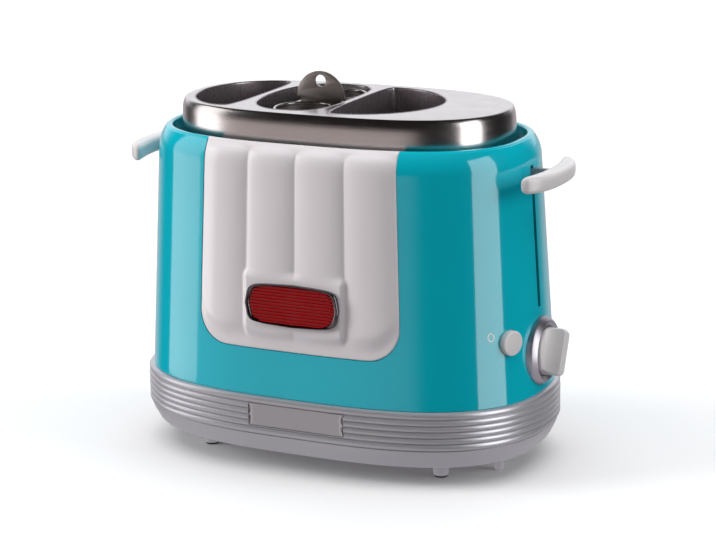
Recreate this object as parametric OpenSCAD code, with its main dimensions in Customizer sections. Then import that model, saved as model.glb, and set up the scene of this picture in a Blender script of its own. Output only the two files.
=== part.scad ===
// Hot dog toaster: two bun wells, a lift-out basket for two sausages,
// a push bar at each end, a timer knob and a cancel button.
// Millimetres. +X is the knob end, -Y the front, +Z up.
// The origin is on the floor, under the middle of the whole toaster, knob and bars included.

/* [Body shell] */
// Length of the shell at its foot
shell_len = 296; // [280:1:310]
// Depth of the shell at its foot
shell_depth = 179.8; // [170:0.2:190]
// Height of the seam between the shell and the base ring
seam_z = 56; // [54:1:58]
// How far each side leans in from the seam up to the shoulder
shell_draft = 9.1; // [7:0.1:11]
// Height of the shell's upper lip
lip_z = 231; // [229:0.5:233]
// Height of the rounded shoulder, up to the lip
shoulder_h = 16; // [14:1:19]
// How far the shoulder curves in, up to the lip
shoulder_in = 4.9; // [3:0.1:6]
// Width of the lip seen from above
lip_w = 4; // [3.5:0.1:5]
// Wall of the shell
shell_wall = 2.4; // [2:0.1:3]
// Squareness of the plan curve along the front
plan_p = 2.93; // [2.5:0.01:3.2]
// Squareness of the plan curve at the ends
plan_q = 2.43; // [2.2:0.01:2.8]

/* [Front panel] */
// Width of the fluted panel
panel_w = 155; // [145:1:165]
// How far each side of the panel leans in, up to the lip
panel_taper = 5; // [0:0.5:7]
// Height of the panel's lower edge
panel_bottom_z = 89; // [84:1:92]
// Radius of its lower corners
panel_corner_r = 23.5; // [16:0.5:28]
// Number of flutes
flute_count = 4; // [3:1:5]
// How far each flute stands proud
flute_rise = 3; // [1.5:0.1:3.4]
// Wall of the panel
panel_wall = 2.4; // [2:0.1:3]

/* [Badge] */
// Width of the badge across its bulged ends
badge_w = 71.5; // [60:0.5:74]
// Height of the badge across its bulged middle
badge_h = 29.5; // [24:0.5:31]
// Height of the middle of the badge
badge_z = 123; // [120:0.5:128]
// How far each short end bulges
badge_side_bulge = 4; // [2:0.5:5]
// How far the top and bottom edges bulge
badge_top_bulge = 2.1; // [1:0.1:3]
// Width of the metal frame at each end
badge_end_rim = 3.2; // [2:0.1:3.8]
// Width of the metal frame along the top and the bottom
badge_edge_rim = 1.5; // [1:0.1:2.5]
// Depth of the metal frame
badge_deep = 3; // [2.4:0.1:3.6]
// Number of ribs on the insert
badge_ribs = 10; // [7:1:11]

/* [Top plate] */
// Gap between the shell's lip and the plate's foot, at each end
moat_end = 6.8; // [6:0.1:8]
// Depth of the flat top
plate_depth = 122.2; // [121:0.2:125]
// Height of the edge of the flat top above the shell's lip
plate_rise = 19; // [16:0.5:21]
// How much the plate swells towards its foot, on each side
plate_flare = 3.5; // [2:0.1:4.5]
// Crown of the plate in its middle
plate_crown = 0.8; // [0.5:0.1:1.5]
// Wall of the pressed plate
plate_wall = 1; // [0.8:0.1:1.2]

/* [Wells] */
// Half depth of the three wells
well_half = 51.5; // [49:0.5:52]
// Middle line of the left bun well
left_well_x = -76; // [-78:0.5:-75]
// Flat of the plate between its left end and the left bun well
plate_end_land = 5.8; // [5:0.1:8]
// Reach of the left bun well towards the basket
left_well_in = 11; // [10:0.5:12]
// Middle line of the basket well
basket_well_x = -28; // [-28.5:0.5:-27.5]
// Half width of the basket well
basket_well_half = 31.2; // [31:0.1:31.7]
// Middle line of the right bun well
right_well_x = 18; // [17.5:0.5:20]
// Reach of the right bun well towards the right end
right_well_out = 53.5; // [48:0.5:54]
// Reach of the right bun well towards the basket
right_well_in = 9.5; // [9:0.5:10]

/* [Basket] */
// Middle line of the basket and its tab
basket_x = -20; // [-22:0.5:-19.5]
// Bore of each sausage cage
sausage_bore = 38; // [34:0.5:39]
// Distance from the middle to each sausage
sausage_y = 27.5; // [26:0.5:28]
// How far the basket's rings lie below the edge of the flat top
ring_drop = 1.5; // [0.5:0.5:6]
// Height of a cage
cage_h = 122; // [115:1:124]
// Width of the lifting tab
tab_w = 37; // [32:1:40]
// Thickness of the lifting tab
tab_t = 1.4; // [1.2:0.1:2]
// How far the tab's round top stands above the basket ring
tab_rise = 20.4; // [18:0.2:25]
// Hole in the tab
tab_hole_d = 8.4; // [6:0.2:9]
// Distance of the middle of the hole below the top of the tab
tab_hole_drop = 6.8; // [6:0.2:9]

/* [Push bars] */
// How far the push bars travel down
travel = 88; // [80:1:89]
// Height of the middle of the bars at rest
bar_z = 208; // [206:0.5:209]
// Height of each bar, top to bottom
bar_h = 11.6; // [10:0.2:12]
// Length of each bar from front to back
bar_len = 80; // [70:1:90]
// Thickness of each bar at its middle
bar_t = 13; // [11:0.5:14]
// Gap between the bars and the shell at bar height
bar_gap = 12; // [9:0.5:13]
// How far the ends of the bars bend back to the shell
bar_bow = 9; // [4:0.5:10]
// Width of the slots in the shell
slot_w = 4.5; // [4.2:0.1:5]

/* [Knob] */
// Diameter of the bezel
bezel_d = 48; // [46:1:52]
// Height of the knob's axis
knob_z = 84; // [83:0.5:87]
// Diameter of the knob's round skirt
knob_skirt_d = 33; // [30:1:38]
// Thickness of the knob's bar grip
grip_t = 11; // [9:0.5:13]
// How far the grip stands out of the bezel
grip_out = 11.5; // [9:0.5:20]
// Rounding of the grip's outer end
grip_round = 3; // [2:0.5:5]
// Angle of the grip at rest, leaning back from upright
grip_turn = 24; // [0:1:40]
// Diameter of the knob's shaft
shaft_d = 6; // [5:0.5:6.5]

/* [Cancel button] */
// Diameter of the button
button_d = 17.4; // [14:0.2:18]
// Distance of the button in front of the middle of the end
button_y = -38.2; // [-40:0.2:-36]
// Height of the button
button_z = 98.9; // [97:0.5:101]
// How far the button stands out
button_out = 4; // [3:0.5:5]
// Travel of the button
button_travel = 2; // [1.5:0.5:2.5]

/* [Base] */
// Height of the underside of the base
base_bottom_z = 14.6; // [13:0.2:15]
// How far the ribs stand out beyond the shell
rib_out = 3.7; // [3:0.1:4]
// Depth of the grooves between the ribs
rib_deep = 1.4; // [1:0.1:1.6]
// Number of ribs between the two beads
rib_count = 4; // [3:1:5]
// Width of the nameplate
nameplate_w = 73; // [60:1:76]
// Thickness of the base plate
base_plate_t = 2.5; // [2:0.1:3]
// Diameter of a foot at the floor
foot_d = 10.4; // [9:0.2:12]
// Distance of the feet left and right of the middle
foot_x = 90.6; // [86:0.2:94]
// Distance of the feet in front of and behind the middle
foot_y = 47.2; // [44:0.2:50]
// Distance of the pegs left and right of the middle
peg_x = 122.8; // [120:0.2:125]
// Distance of the pegs in front of and behind the middle
peg_y = 20; // [18:0.5:22]
// Height of the tips of the pegs above the floor
peg_gap = 0.5; // [0.4:0.1:2]
// Width of the crumb tray
tray_w = 140; // [130:1:144]
// Bore of the cord entry
entry_d = 7.6; // [7:0.1:8.4]
// Place of the cord entry, right of the middle
entry_x = 100; // [98:0.5:104]

/* [Oven] */
// Half depth of the oven box
oven_half = 60; // [59:0.2:61]
// Gap between the left bun well and the oven's left end
oven_left_gap = 2; // [1.6:0.2:3]
// Inner face of the oven box at its right end
oven_right_x = 76; // [75.5:0.1:77]
// Thickness of the oven sheet
sheet_t = 1; // [0.8:0.1:1.2]
// Thickness of a mica board
mica_t = 1; // [0.8:0.1:1.2]
// Windings of ribbon on each heated face
ribbon_rows = 11; // [8:1:12]
// Diameter of a guard wire
guard_d = 1.5; // [1.2:0.1:1.8]
// Height of the bun rests at rest
rest_z = 163; // [160:0.5:164]
// Diameter of the guide rods
rod_d = 5; // [4:0.5:6]

/* [Hidden] */

fit = 0.05;          // radial clearance of a running fit
gap = 0.2;           // clearance between pieces that are fitted together
plan_n = 72;         // points on a plan curve
shoulder_z = lip_z - shoulder_h;
plate_z = lip_z + plate_rise;
basket_ring_z = plate_z - ring_drop;
half_l = shell_len / 2;
half_d = shell_depth / 2;
lean = shell_draft / (shoulder_z - seam_z);
lean_angle = atan(lean);

// ---- Plan curve and shell surface ----

// Point of the plan curve with half length a and half depth b, at parameter t
function plan_pt(a, b, t) =
    let (c = cos(t), s = sin(t))
    [a * sign(c) * pow(abs(c), 2 / plan_p), b * sign(s) * pow(abs(s), 2 / plan_q)];
function plan_curve(a, b) = [for (i = [0:plan_n - 1]) plan_pt(a, b, 360 * i / plan_n)];

// How far the shell's outside lies in from its foot at height z
function skin_in(z) =
    lean * (z - seam_z)
    + shoulder_in * pow(max(0, (z - shoulder_z) / (lip_z - shoulder_z)), 2.2);
function skin_a(z) = half_l - skin_in(z);
function skin_b(z) = half_d - skin_in(z);

// Depth of a plan curve at x, and its reach at y
function curve_y(a, b, x) = b * pow(1 - pow(min(1, abs(x) / a), plan_p), 1 / plan_q);
function curve_x(a, b, y) = a * pow(1 - pow(min(1, abs(y) / b), plan_q), 1 / plan_p);

// Direction of the outward normal of a plan curve at point (x, y)
function normal_angle(a, b, x, y) =
    atan2(sign(y) * plan_q / b * pow(abs(y) / b, plan_q - 1),
          sign(x) * plan_p / a * pow(abs(x) / a, plan_p - 1));

// ---- Lofts ----

// Closed sleeve: rings are [out, z] in order round the wall, outside upwards first
module sleeve(rings, a, b) {
    m = len(rings);
    n = plan_n;
    points = [for (r = rings) for (q = plan_curve(a + r[0], b + r[0])) [q[0], q[1], r[1]]];
    faces = [for (j = [0:m - 1]) for (i = [0:n - 1])
        let (k = (j + 1) % m, h = (i + 1) % n)
        each [[j * n + i, k * n + h, j * n + h], [j * n + i, k * n + i, k * n + h]]];
    polyhedron(points = points, faces = faces);
}

// Closed body: a stack of outlines with the same number of points, capped at both ends
module stack(outlines) {
    m = len(outlines);
    n = len(outlines[0]);
    points = [for (o = outlines) each o];
    sides = [for (j = [0:m - 2]) for (i = [0:n - 1])
        let (h = (i + 1) % n)
        each [[j * n + i, (j + 1) * n + h, j * n + h],
              [j * n + i, (j + 1) * n + i, (j + 1) * n + h]]];
    bottom = [for (i = [0:n - 1]) i];
    top = [for (i = [n - 1:-1:0]) (m - 1) * n + i];
    polyhedron(points = points, faces = concat([bottom], sides, [top]));
}

// Solid between a front grid and a back grid of points, rows upwards, columns to the right
module slab(front, back) {
    rows = len(front);
    cols = len(front[0]);
    size = rows * cols;
    points = concat([for (r = front) each r], [for (r = back) each r]);
    faces = concat(
        [for (r = [0:rows - 2]) for (c = [0:cols - 2])
            let (p = r * cols + c, q = p + cols)
            each [[p, q + 1, p + 1], [p, q, q + 1],
                  [size + p, size + p + 1, size + q + 1], [size + p, size + q + 1, size + q]]],
        [for (c = [0:cols - 2])
            let (p = c, q = (rows - 1) * cols + c)
            each [[p, p + 1, size + p + 1], [p, size + p + 1, size + p],
                  [q, size + q, size + q + 1], [q, size + q + 1, q + 1]]],
        [for (r = [0:rows - 2])
            let (p = r * cols, q = p + cols, s = p + cols - 1, t = s + cols)
            each [[p, size + p, size + q], [p, size + q, q],
                  [s, t, size + t], [s, size + t, size + s]]]);
    polyhedron(points = points, faces = faces);
}

// Wire helix about Z from z0 to z1, as one unbroken tube
module helix(r, wire_r, turns, z0, z1) {
    per_turn = 8;
    sides = 6;
    steps = turns * per_turn;
    climb = (z1 - z0) / steps;
    slope = atan(climb * per_turn / (2 * PI * r));
    ring_at = [for (k = [0:steps]) [for (i = [0:sides - 1])
        let (t = 360 * k / per_turn, u = 360 * i / sides,
             out = wire_r * cos(u), up = wire_r * sin(u))
        [(r + out) * cos(t) + up * sin(slope) * sin(t),
         (r + out) * sin(t) - up * sin(slope) * cos(t),
         z0 + climb * k + up * cos(slope)]]];
    points = [for (ring = ring_at) each ring];
    skin = [for (k = [0:steps - 1]) for (i = [0:sides - 1])
        let (h = (i + 1) % sides)
        each [[k * sides + i, k * sides + h, (k + 1) * sides + h],
              [k * sides + i, (k + 1) * sides + h, (k + 1) * sides + i]]];
    start = [for (i = [sides - 1:-1:0]) i];
    end = [for (i = [0:sides - 1]) steps * sides + i];
    polyhedron(points = points, faces = concat(skin, [start, end]));
}

// Box from its low corner to its high corner
module block(lo, hi) {
    translate(lo)
        cube(hi - lo);
}

// Carries a piece from the shell's own middle to the frame, whose origin lies under the
// middle of the whole toaster
module in_frame() {
    bar_reach = bar_face + bar_t;
    translate([(bar_reach - max(bar_reach, bezel_rim_x + grip_out)) / 2, 0, 0])
        children();
}

// Round bar or hole along Z
module rod(r, z0, z1, sides = 48) {
    translate([0, 0, z0])
        cylinder(r = r, h = z1 - z0, $fn = sides);
}

// ---- Shell ----
stem_h = 8;
stem_t = 3.8;
slot_top = bar_z + bar_h / 2;
slot_bottom = bar_z - travel - stem_h / 2 - 1.2;
moat_z = plate_z - 28;          // top of the seat ring, where the plate's skirt stands
button_x = curve_x(skin_a(button_z), skin_b(button_z), button_y);
button_turn = normal_angle(skin_a(button_z), skin_b(button_z), button_x, button_y);
button_clear = 0.35;

// Puts children on the cancel button's axis, +X outwards, origin on the shell's surface
module on_button_axis() {
    translate([button_x, button_y, button_z])
        rotate([0, 0, button_turn])
            children();
}

// Puts a shape made along +Z on the knob's axis, which runs along +X
module on_knob_axis() {
    translate([0, 0, knob_z])
        rotate([0, 90, 0])
            children();
}

shell_steps = 6;
// The shell's profile as [out, z], outside upwards, over the lip, and down inside
shell_profile = concat(
    [[0, seam_z], [-skin_in(shoulder_z), shoulder_z]],
    [for (k = [1:shell_steps])
        let (z = shoulder_z + (lip_z - shoulder_z) * k / shell_steps)
        [-skin_in(z), z]],
    [[-skin_in(lip_z) - lip_w * 0.4, lip_z + 0.4],
     [-skin_in(lip_z) - lip_w * 0.85, lip_z - 0.2],
     [-skin_in(lip_z) - lip_w, lip_z - 1.5],
     [-skin_in(lip_z) - lip_w, moat_z],
     [-skin_in(shoulder_z) - shell_wall, shoulder_z - 2],
     [-shell_wall, seam_z]]);

module shell() {
    color("#12a5b4") in_frame()
        difference() {
            sleeve(shell_profile, half_l, half_d);
            panel_window();
            for (side = [-1, 1])
                scale([side, 1, 1])
                    block([half_l - 30, -slot_w / 2, slot_bottom], [half_l + 5, slot_w / 2, slot_top]);
            on_knob_axis()
                rod(bezel_d / 2 + gap, half_l - 30, half_l + 10, 96);
            on_button_axis()
                rotate([0, 90, 0])
                    rod(button_d / 2 + button_clear, -12, 8, 64);
        }
}

// ---- Front panel ----
// Lowest height of the panel at x, with rounded lower corners
function panel_foot(x, w, bottom, r) =
    let (over = max(0, abs(x) - (w / 2 - r)))
    bottom + r - sqrt(max(0, r * r - over * over));

panel_cols = flute_count * 8;
panel_rows = [0, 0.03, 0.07, 0.11, 0.15, 0.2, 0.25, 0.3, 0.35, 0.42, 0.55, 0.75, 1];
panel_top_rows = [lip_z - 14, lip_z - 11, moat_z, lip_z - 7, lip_z - 5, lip_z - 2.4, lip_z];
panel_half = panel_w / 2 - gap;
function ease(t) = let (u = max(0, min(1, t))) u * u * (3 - 2 * u);

// Width of the panel at height z, as a share of its width at its lower edge
function panel_share(z) =
    1 - panel_taper / (panel_w / 2) * max(0, z - panel_bottom_z) / (lip_z - panel_bottom_z);

// Column positions along the lower edge
function panel_x(c) = -panel_half + 2 * panel_half * c / panel_cols;

// How far the panel stands out of the shell's surface at height z, in the column that starts
// at x on the lower edge
function flute_at(x, z, foot) =
    let (u = abs(((x + panel_half) / (2 * panel_half) * flute_count) % 1 - 0.5) * 2,
         top = max(0, min(1, (z - lip_z + 14) / 9)),
         crest = flute_rise * max(0, 1 - pow(u, 2.2) - pow(top, 2.6)),
         low = ease((z - foot - 5) / 14))
    crest * low;

// 1 on the flat that carries the badge, 0 away from it
function badge_flat(x, z) =
    let (dx = (abs(x) - badge_w / 2 - 1) / 2.8, dz = (abs(z - badge_z) - badge_h / 2 - 4) / 7)
    ease(1 - max(dx, dz));

function panel_front(x, z, foot) =
    let (a = skin_a(z), b = skin_b(z), true_x = x * panel_share(z),
         fluted = -curve_y(a, b, true_x) - flute_at(x, z, foot),
         flat_y = -(half_d - lean * (z - seam_z)) - flute_rise,
         w = badge_flat(true_x, z))
    fluted * (1 - w) + flat_y * w;

// How far the panel's back lies in from the shell's foot at height z
function panel_back_in(z) =
    let (top_in = skin_in(lip_z) + lip_w, low_z = shoulder_z - 2,
         low_in = skin_in(low_z) + panel_wall)
    z >= moat_z ? top_in
    : z <= low_z ? skin_in(z) + panel_wall
    : low_in + (top_in - low_in) * (z - low_z) / (moat_z - low_z);

module front_panel() {
    xs = [for (c = [0:panel_cols]) panel_x(c)];
    feet_z = [for (x = xs) panel_foot(x, 2 * panel_half, panel_bottom_z + gap, panel_corner_r)];
    low_z = shoulder_z - 2;
    rows = [for (c = [0:panel_cols])
        concat([for (v = panel_rows) feet_z[c] + (low_z - feet_z[c]) * v], panel_top_rows)];
    count = len(rows[0]);
    front = [for (k = [0:count - 1]) [for (c = [0:panel_cols])
        let (z = rows[c][k])
        [xs[c] * panel_share(z), panel_front(xs[c], z, feet_z[c]), z]]];
    back = [for (k = [0:count - 1]) [for (c = [0:panel_cols])
        let (z = rows[c][k], in = panel_back_in(z), x = xs[c] * panel_share(z))
        [x, -curve_y(half_l - in, half_d - in, x), z]]];
    color("#e9e6e6") in_frame()
        slab(front, back);
}

// Window in the shell that takes the panel
module panel_window() {
    w = panel_w;
    r = panel_corner_r;
    steps = 8;
    right = [for (k = [0:steps])
        let (t = 90 * k / steps, z = panel_bottom_z + r - r * cos(t))
        [(w / 2 - r + r * sin(t)) * panel_share(z), z]];
    left = [for (k = [steps:-1:0]) [-right[k][0], right[k][1]]];
    top = lip_z + 5;
    top_x = w / 2 * panel_share(top);
    outline = concat(right, [[top_x, top], [-top_x, top]], left);
    translate([0, -half_d * 0.6, 0])
        rotate([90, 0, 0])
            linear_extrude(height = half_d)
                polygon(outline);
}

// ---- Badge ----
// Barrel outline: four bulged sides with rounded corners
badge_seg = 10;
function badge_outline(end_in, edge_in) =
    let (w = badge_w / 2 - end_in, h = badge_h / 2 - edge_in, n = 4 * badge_seg)
    [for (i = [0:n - 1])
        let (t = 360 * i / n, c = cos(t), s = sin(t),
             u = sign(c) * pow(abs(c), 0.2), v = sign(s) * pow(abs(s), 0.2))
        [u * (w - badge_side_bulge * v * v), v * (h - badge_top_bulge * u * u)]];

// Frame of the badge: Z stands square off the panel's flat, X to the right, Y up
module on_badge() {
    translate([0, -(half_d - lean * (badge_z - seam_z)) - flute_rise - 0.05, badge_z])
        rotate([90 - lean_angle, 0, 0])
            children();
}

module badge_frame() {
    color("#4a4448") in_frame()
        on_badge()
            difference() {
                linear_extrude(height = badge_deep)
                    polygon(badge_outline(0, 0));
                translate([0, 0, 0.8])
                    linear_extrude(height = badge_deep)
                        polygon(badge_outline(badge_end_rim, badge_edge_rim));
            }
}

module badge_insert() {
    pitch = (badge_h - 2 * badge_edge_rim - badge_top_bulge) / (badge_ribs + 1);
    rib_w = badge_w - 2 * badge_end_rim - 2 * badge_side_bulge - 5;
    color("#a3101c") in_frame()
        on_badge() {
            translate([0, 0, 0.8])
                linear_extrude(height = badge_deep - 2)
                    polygon(badge_outline(badge_end_rim + gap, badge_edge_rim + gap));
            for (k = [1:badge_ribs])
                translate([-rib_w / 2, (k - (badge_ribs + 1) / 2) * pitch, badge_deep - 1.2])
                    rotate([0, 90, 0])
                        cylinder(r = pitch * 0.36, h = rib_w, $fn = 24);
        }
}

// ---- Top plate ----
plate_a = half_l - skin_in(lip_z) - lip_w - moat_end - plate_flare;
plate_b = plate_depth / 2;
left_well_out = plate_a - plate_end_land + left_well_x;
left_well_half = well_half - 2.5;    // shallower, to stay clear of the plate's rolled edge
liner_wall = plate_wall;
// Outside of the plate as [out, z] from the skirt's foot up to the crown
plate_profile = [[plate_flare, moat_z], [plate_flare - 0.3, plate_z - 10],
    [plate_flare - 0.7, plate_z - 5.5], [plate_flare - 1.3, plate_z - 3],
    [plate_flare - 2.2, plate_z - 1.2], [0, plate_z],
    [-5, plate_z + plate_crown * 0.6], [-14, plate_z + plate_crown]];

// Outline of a well: half widths to the left and right of x0, each with its own squareness
function well_curve(x0, left, right, half, nl, nr, grow) =
    [for (i = [0:63])
        let (t = 360 * i / 64, c = cos(t), s = sin(t),
             n = c < 0 ? nl : nr, w = (c < 0 ? left : right) + grow)
        [x0 + w * sign(c) * pow(abs(c), 2 / n), (half + grow) * sign(s) * pow(abs(s), 2 / n)]];
function left_well(grow) =
    well_curve(left_well_x, left_well_out, left_well_in, left_well_half, 1.8, 4, grow);
function basket_well(grow) =
    well_curve(basket_well_x, basket_well_half, basket_well_half, well_half, 2.2, 3.6, grow);
function right_well(grow) =
    well_curve(right_well_x, right_well_in, right_well_out, well_half, 4, 1.9, grow);
liner_out = liner_wall + fit;
liner_holes = [left_well(liner_out), basket_well(liner_out), right_well(liner_out)];

module prism(outline, z0, z1) {
    translate([0, 0, z0])
        linear_extrude(height = z1 - z0)
            polygon(outline);
}

// Solid bounded by the plate's outside, drawn in by t on every side
module plate_body(t, foot) {
    stack([for (r = plate_profile)
        let (z = r[1] == moat_z ? foot : r[1] - t)
        [for (q = plan_curve(plate_a + r[0] - t, plate_b + r[0] - t)) [q[0], q[1], z]]]);
}

// Outline in plan of the seam between the top sheet and the skirt that is rolled over its edge
plate_seam_in = 1.5;
plate_seam = plan_curve(plate_a - plate_seam_in, plate_b - plate_seam_in);

module plate_wall_body() {
    difference() {
        plate_body(0, moat_z);
        plate_body(plate_wall, moat_z - 1);
    }
}

module top_plate() {
    color("#c9c7c8") in_frame()
        difference() {
            intersection() {
                plate_wall_body();
                prism(plate_seam, plate_z - 5, plate_z + 5);
            }
            for (o = liner_holes)
                prism(o, moat_z - 2, plate_z + 5);
        }
}

module plate_skirt() {
    color("#c3c1c2") in_frame()
        difference() {
            plate_wall_body();
            prism(plate_seam, plate_z - 8, plate_z + 5);
        }
}

// Wall of a well, set in the plate and in the seat ring, and flush with the plate's top
module well_liner(outside, inside) {
    foot = moat_z - seat_t;
    color("#bdb9b8") in_frame()
        intersection() {
            plate_body(0, foot);
            difference() {
                prism(outside, foot, plate_z + 5);
                prism(inside, foot - 1, plate_z + 6);
            }
        }
}

module left_well_liner() {
    well_liner(left_well(liner_wall), left_well(0));
}

module basket_well_liner() {
    well_liner(basket_well(liner_wall), basket_well(0));
}

module right_well_liner() {
    well_liner(right_well(liner_wall), right_well(0));
}

// ---- Seat ring under the lip ----
seat_t = 3;
seat_out = -skin_in(lip_z) - lip_w - gap;
seat_in_a = plate_a + plate_flare - 6;
module seat_ring() {
    seat_in = seat_in_a - half_l;
    color("#0d6f78") in_frame()
        difference() {
            sleeve([[seat_out, moat_z - seat_t], [seat_out, moat_z],
                    [seat_in, moat_z], [seat_in, moat_z - seat_t]], half_l, half_d);
            for (o = liner_holes)
                prism(o, moat_z - seat_t - 1, moat_z + 1);
        }
}

// ---- Base ----
bead_h = 5;
rib_top_z = seam_z - bead_h;
rib_bottom_z = 34;
rib_pitch = (rib_top_z - rib_bottom_z) / rib_count;
band_top_z = 29.3;
valley = rib_out - rib_deep;
base_inner = -shell_wall - 1.1;      // inner edge of the ledge that carries the shell
bottom_in = -8;                      // inner edge of the ring's underside
base_wall = 2.6;

function bead(z0, z1, out, low) =
    [[out - 0.45, z0 + (z1 - z0) * 0.2], [out, z0 + (z1 - z0) * 0.5],
     [out - 0.45, z0 + (z1 - z0) * 0.8], [low, z1]];
base_outside = concat(
    [[bottom_in, base_bottom_z], [-4.6, base_bottom_z + 0.6], [-2.4, base_bottom_z + 2.8],
     [-0.6, base_bottom_z + 6.4], [1.2, base_bottom_z + 10], [2.5, band_top_z - 0.6],
     [1.9, band_top_z]],
    bead(band_top_z, rib_bottom_z, rib_out, valley),
    [for (k = [0:rib_count - 1])
        each bead(rib_bottom_z + k * rib_pitch, rib_bottom_z + (k + 1) * rib_pitch, rib_out, valley)],
    bead(rib_top_z, seam_z, rib_out - 0.2, 1.8));
base_inside = [[base_inner, seam_z], [base_inner, seam_z - 3], [-0.4, seam_z - 6],
    [-0.4, band_top_z], [-3.6, base_bottom_z + 8], [-6.4, base_bottom_z + base_plate_t + 0.6],
    [bottom_in, base_bottom_z + base_plate_t]];

oven_left_x = left_well_x - left_well_out - oven_left_gap;
floor_z = base_bottom_z + base_plate_t;
tray_floor_z = floor_z + 0.3;
tray_x = (oven_left_x + oven_right_x) / 2 + 8;
tray_face_bottom = tray_floor_z;
tray_face_top = band_top_z - 2.3;
plate_edge_a = half_l + bottom_in - gap;
plate_edge_b = half_d + bottom_in - gap;
nameplate_mid = 2;
nameplate_deep = 2.1;
nameplate_t = 1.2;

entry_z = rib_bottom_z + 6;
entry_out = rib_out;
entry_y = curve_y(half_l + entry_out, half_d + entry_out, entry_x);
entry_turn = normal_angle(half_l + entry_out, half_d + entry_out, entry_x, entry_y);
gland_r = 6.2;

// Puts a shape made along +Z on the cord entry's axis, origin on the ribs' crest
module on_entry() {
    translate([entry_x, entry_y, entry_z])
        rotate([0, 0, entry_turn])
            rotate([0, 90, 0])
                children();
}

module base_ring() {
    color("#a9a7a9") in_frame()
        difference() {
            sleeve(concat(base_outside, base_inside), half_l, half_d);
            block([nameplate_mid - nameplate_w / 2 - gap, -half_d - 10, rib_bottom_z + 1.2],
                  [nameplate_mid + nameplate_w / 2 + gap, -half_d - rib_out + nameplate_deep, rib_top_z + 0.4]);
            block([tray_x - tray_w / 2 - 1, half_d * 0.5, tray_face_bottom - 0.4],
                  [tray_x + tray_w / 2 + 1, half_d + 20, tray_face_top + 0.4]);
            on_entry()
                rod(gland_r + gap, -20, 10);
            on_entry()
                rod(gland_r + 3.2, -rib_deep - 0.3, 10);
        }
}

module nameplate() {
    y_back = -half_d - rib_out + nameplate_deep - 0.1;
    r = 4;
    h = rib_top_z + 0.4 - rib_bottom_z - 1.2 - 2 * gap;
    color("#b4b2b4") in_frame()
        translate([nameplate_mid, y_back, rib_bottom_z + 1.2 + gap])
            rotate([90, 0, 0])
                linear_extrude(height = nameplate_t)
                    difference() {
                        translate([-nameplate_w / 2, 0])
                            square([nameplate_w, h]);
                        for (side = [-1, 1])
                            translate([side * (nameplate_w / 2 + 1.5), h / 2])
                                scale([0.5, 1])
                                    circle(r = r, $fn = 32);
                    }
}

vent_pitch = 9;
slider_x = oven_right_x + 17;
base_screw_at = [[oven_left_x + 8, 31], [oven_left_x + 8, -31],
    [oven_right_x - 7, 50], [oven_right_x - 7, -50]];
rod_at = [[slider_x, 22], [slider_x, -22], [oven_left_x - 8, 16]];

module base_plate() {
    color("#8d8b8d") in_frame()
        difference() {
            union() {
                prism(plan_curve(plate_edge_a, plate_edge_b), base_bottom_z, floor_z);
                for (side = [-1, 1])
                    translate([tray_x + side * (tray_w / 2 + 2.6), 0, 0])
                        block([-1, -40, floor_z - 0.5], [1, 40, floor_z + 5]);
                for (p = rod_at)
                    translate([p[0], p[1], 0])
                        rod(rod_d / 2 + 2.5, floor_z - 0.5, floor_z + 8);
            }
            for (p = rod_at)
                translate([p[0], p[1], 0])
                    rod(rod_d / 2 + fit, floor_z + 0.5, floor_z + 10);
            for (k = [-6:6])
                block([tray_x + k * vent_pitch - 1.7, -30, base_bottom_z - 1],
                      [tray_x + k * vent_pitch + 1.7, 30, floor_z + 1]);
            for (p = base_screw_at)
                translate([p[0], p[1], 0])
                    rod(2.2, base_bottom_z - 1, floor_z + 1, 32);
        }
}

pad_h = 1.5;
module each_corner(x, y) {
    for (sx = [-1, 1])
        for (sy = [-1, 1])
            translate([sx * x, sy * y, 0])
                scale([sx, sy, 1])
                    children();
}

module feet() {
    top_r = foot_d / 2 + 1.1;
    color("#a9a7a9") in_frame()
        each_corner(foot_x, foot_y) {
            translate([0, 0, pad_h])
                cylinder(r1 = foot_d / 2, r2 = top_r, h = base_bottom_z - pad_h, $fn = 48);
            rotate([90, 0, 0])
                translate([0, 0, -1.5])
                    linear_extrude(height = 3)
                        polygon([[foot_d / 2 - 1, 6], [foot_d / 2 + 6, base_bottom_z],
                                 [foot_d / 2 - 1, base_bottom_z]]);
        }
}

module foot_pads() {
    color("#3a3a3c") in_frame()
        each_corner(foot_x, foot_y)
            rod(foot_d / 2 - 0.6, 0, pad_h);
}

module cord_pegs() {
    color("#a9a7a9") in_frame()
        each_corner(peg_x, peg_y)
            translate([0, 0, peg_gap])
                cylinder(r1 = 3, r2 = 4.5, h = base_bottom_z - peg_gap, $fn = 48);
}

module base_screws() {
    color("#8a8a8e") in_frame()
        for (p = base_screw_at)
            translate([p[0], p[1], 0])
                difference() {
                    union() {
                        translate([0, 0, base_bottom_z - 2.2])
                            cylinder(r1 = 3, r2 = 4, h = 2.2, $fn = 32);
                        rod(1.9, base_bottom_z - 0.5, floor_z + 3, 32);
                    }
                    for (turn = [0, 90])
                        rotate([0, 0, turn])
                            block([-2.2, -0.5, base_bottom_z - 3], [2.2, 0.5, base_bottom_z - 1.2]);
                }
}

module cord_gland() {
    color("#2b2b2d") in_frame()
        on_entry()
            difference() {
                union() {
                    rod(gland_r + 3, -rib_deep - 0.3, 1.2);
                    rod(gland_r, -16, 0);
                }
                rod(entry_d / 2, -20, 4);
            }
}

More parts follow.
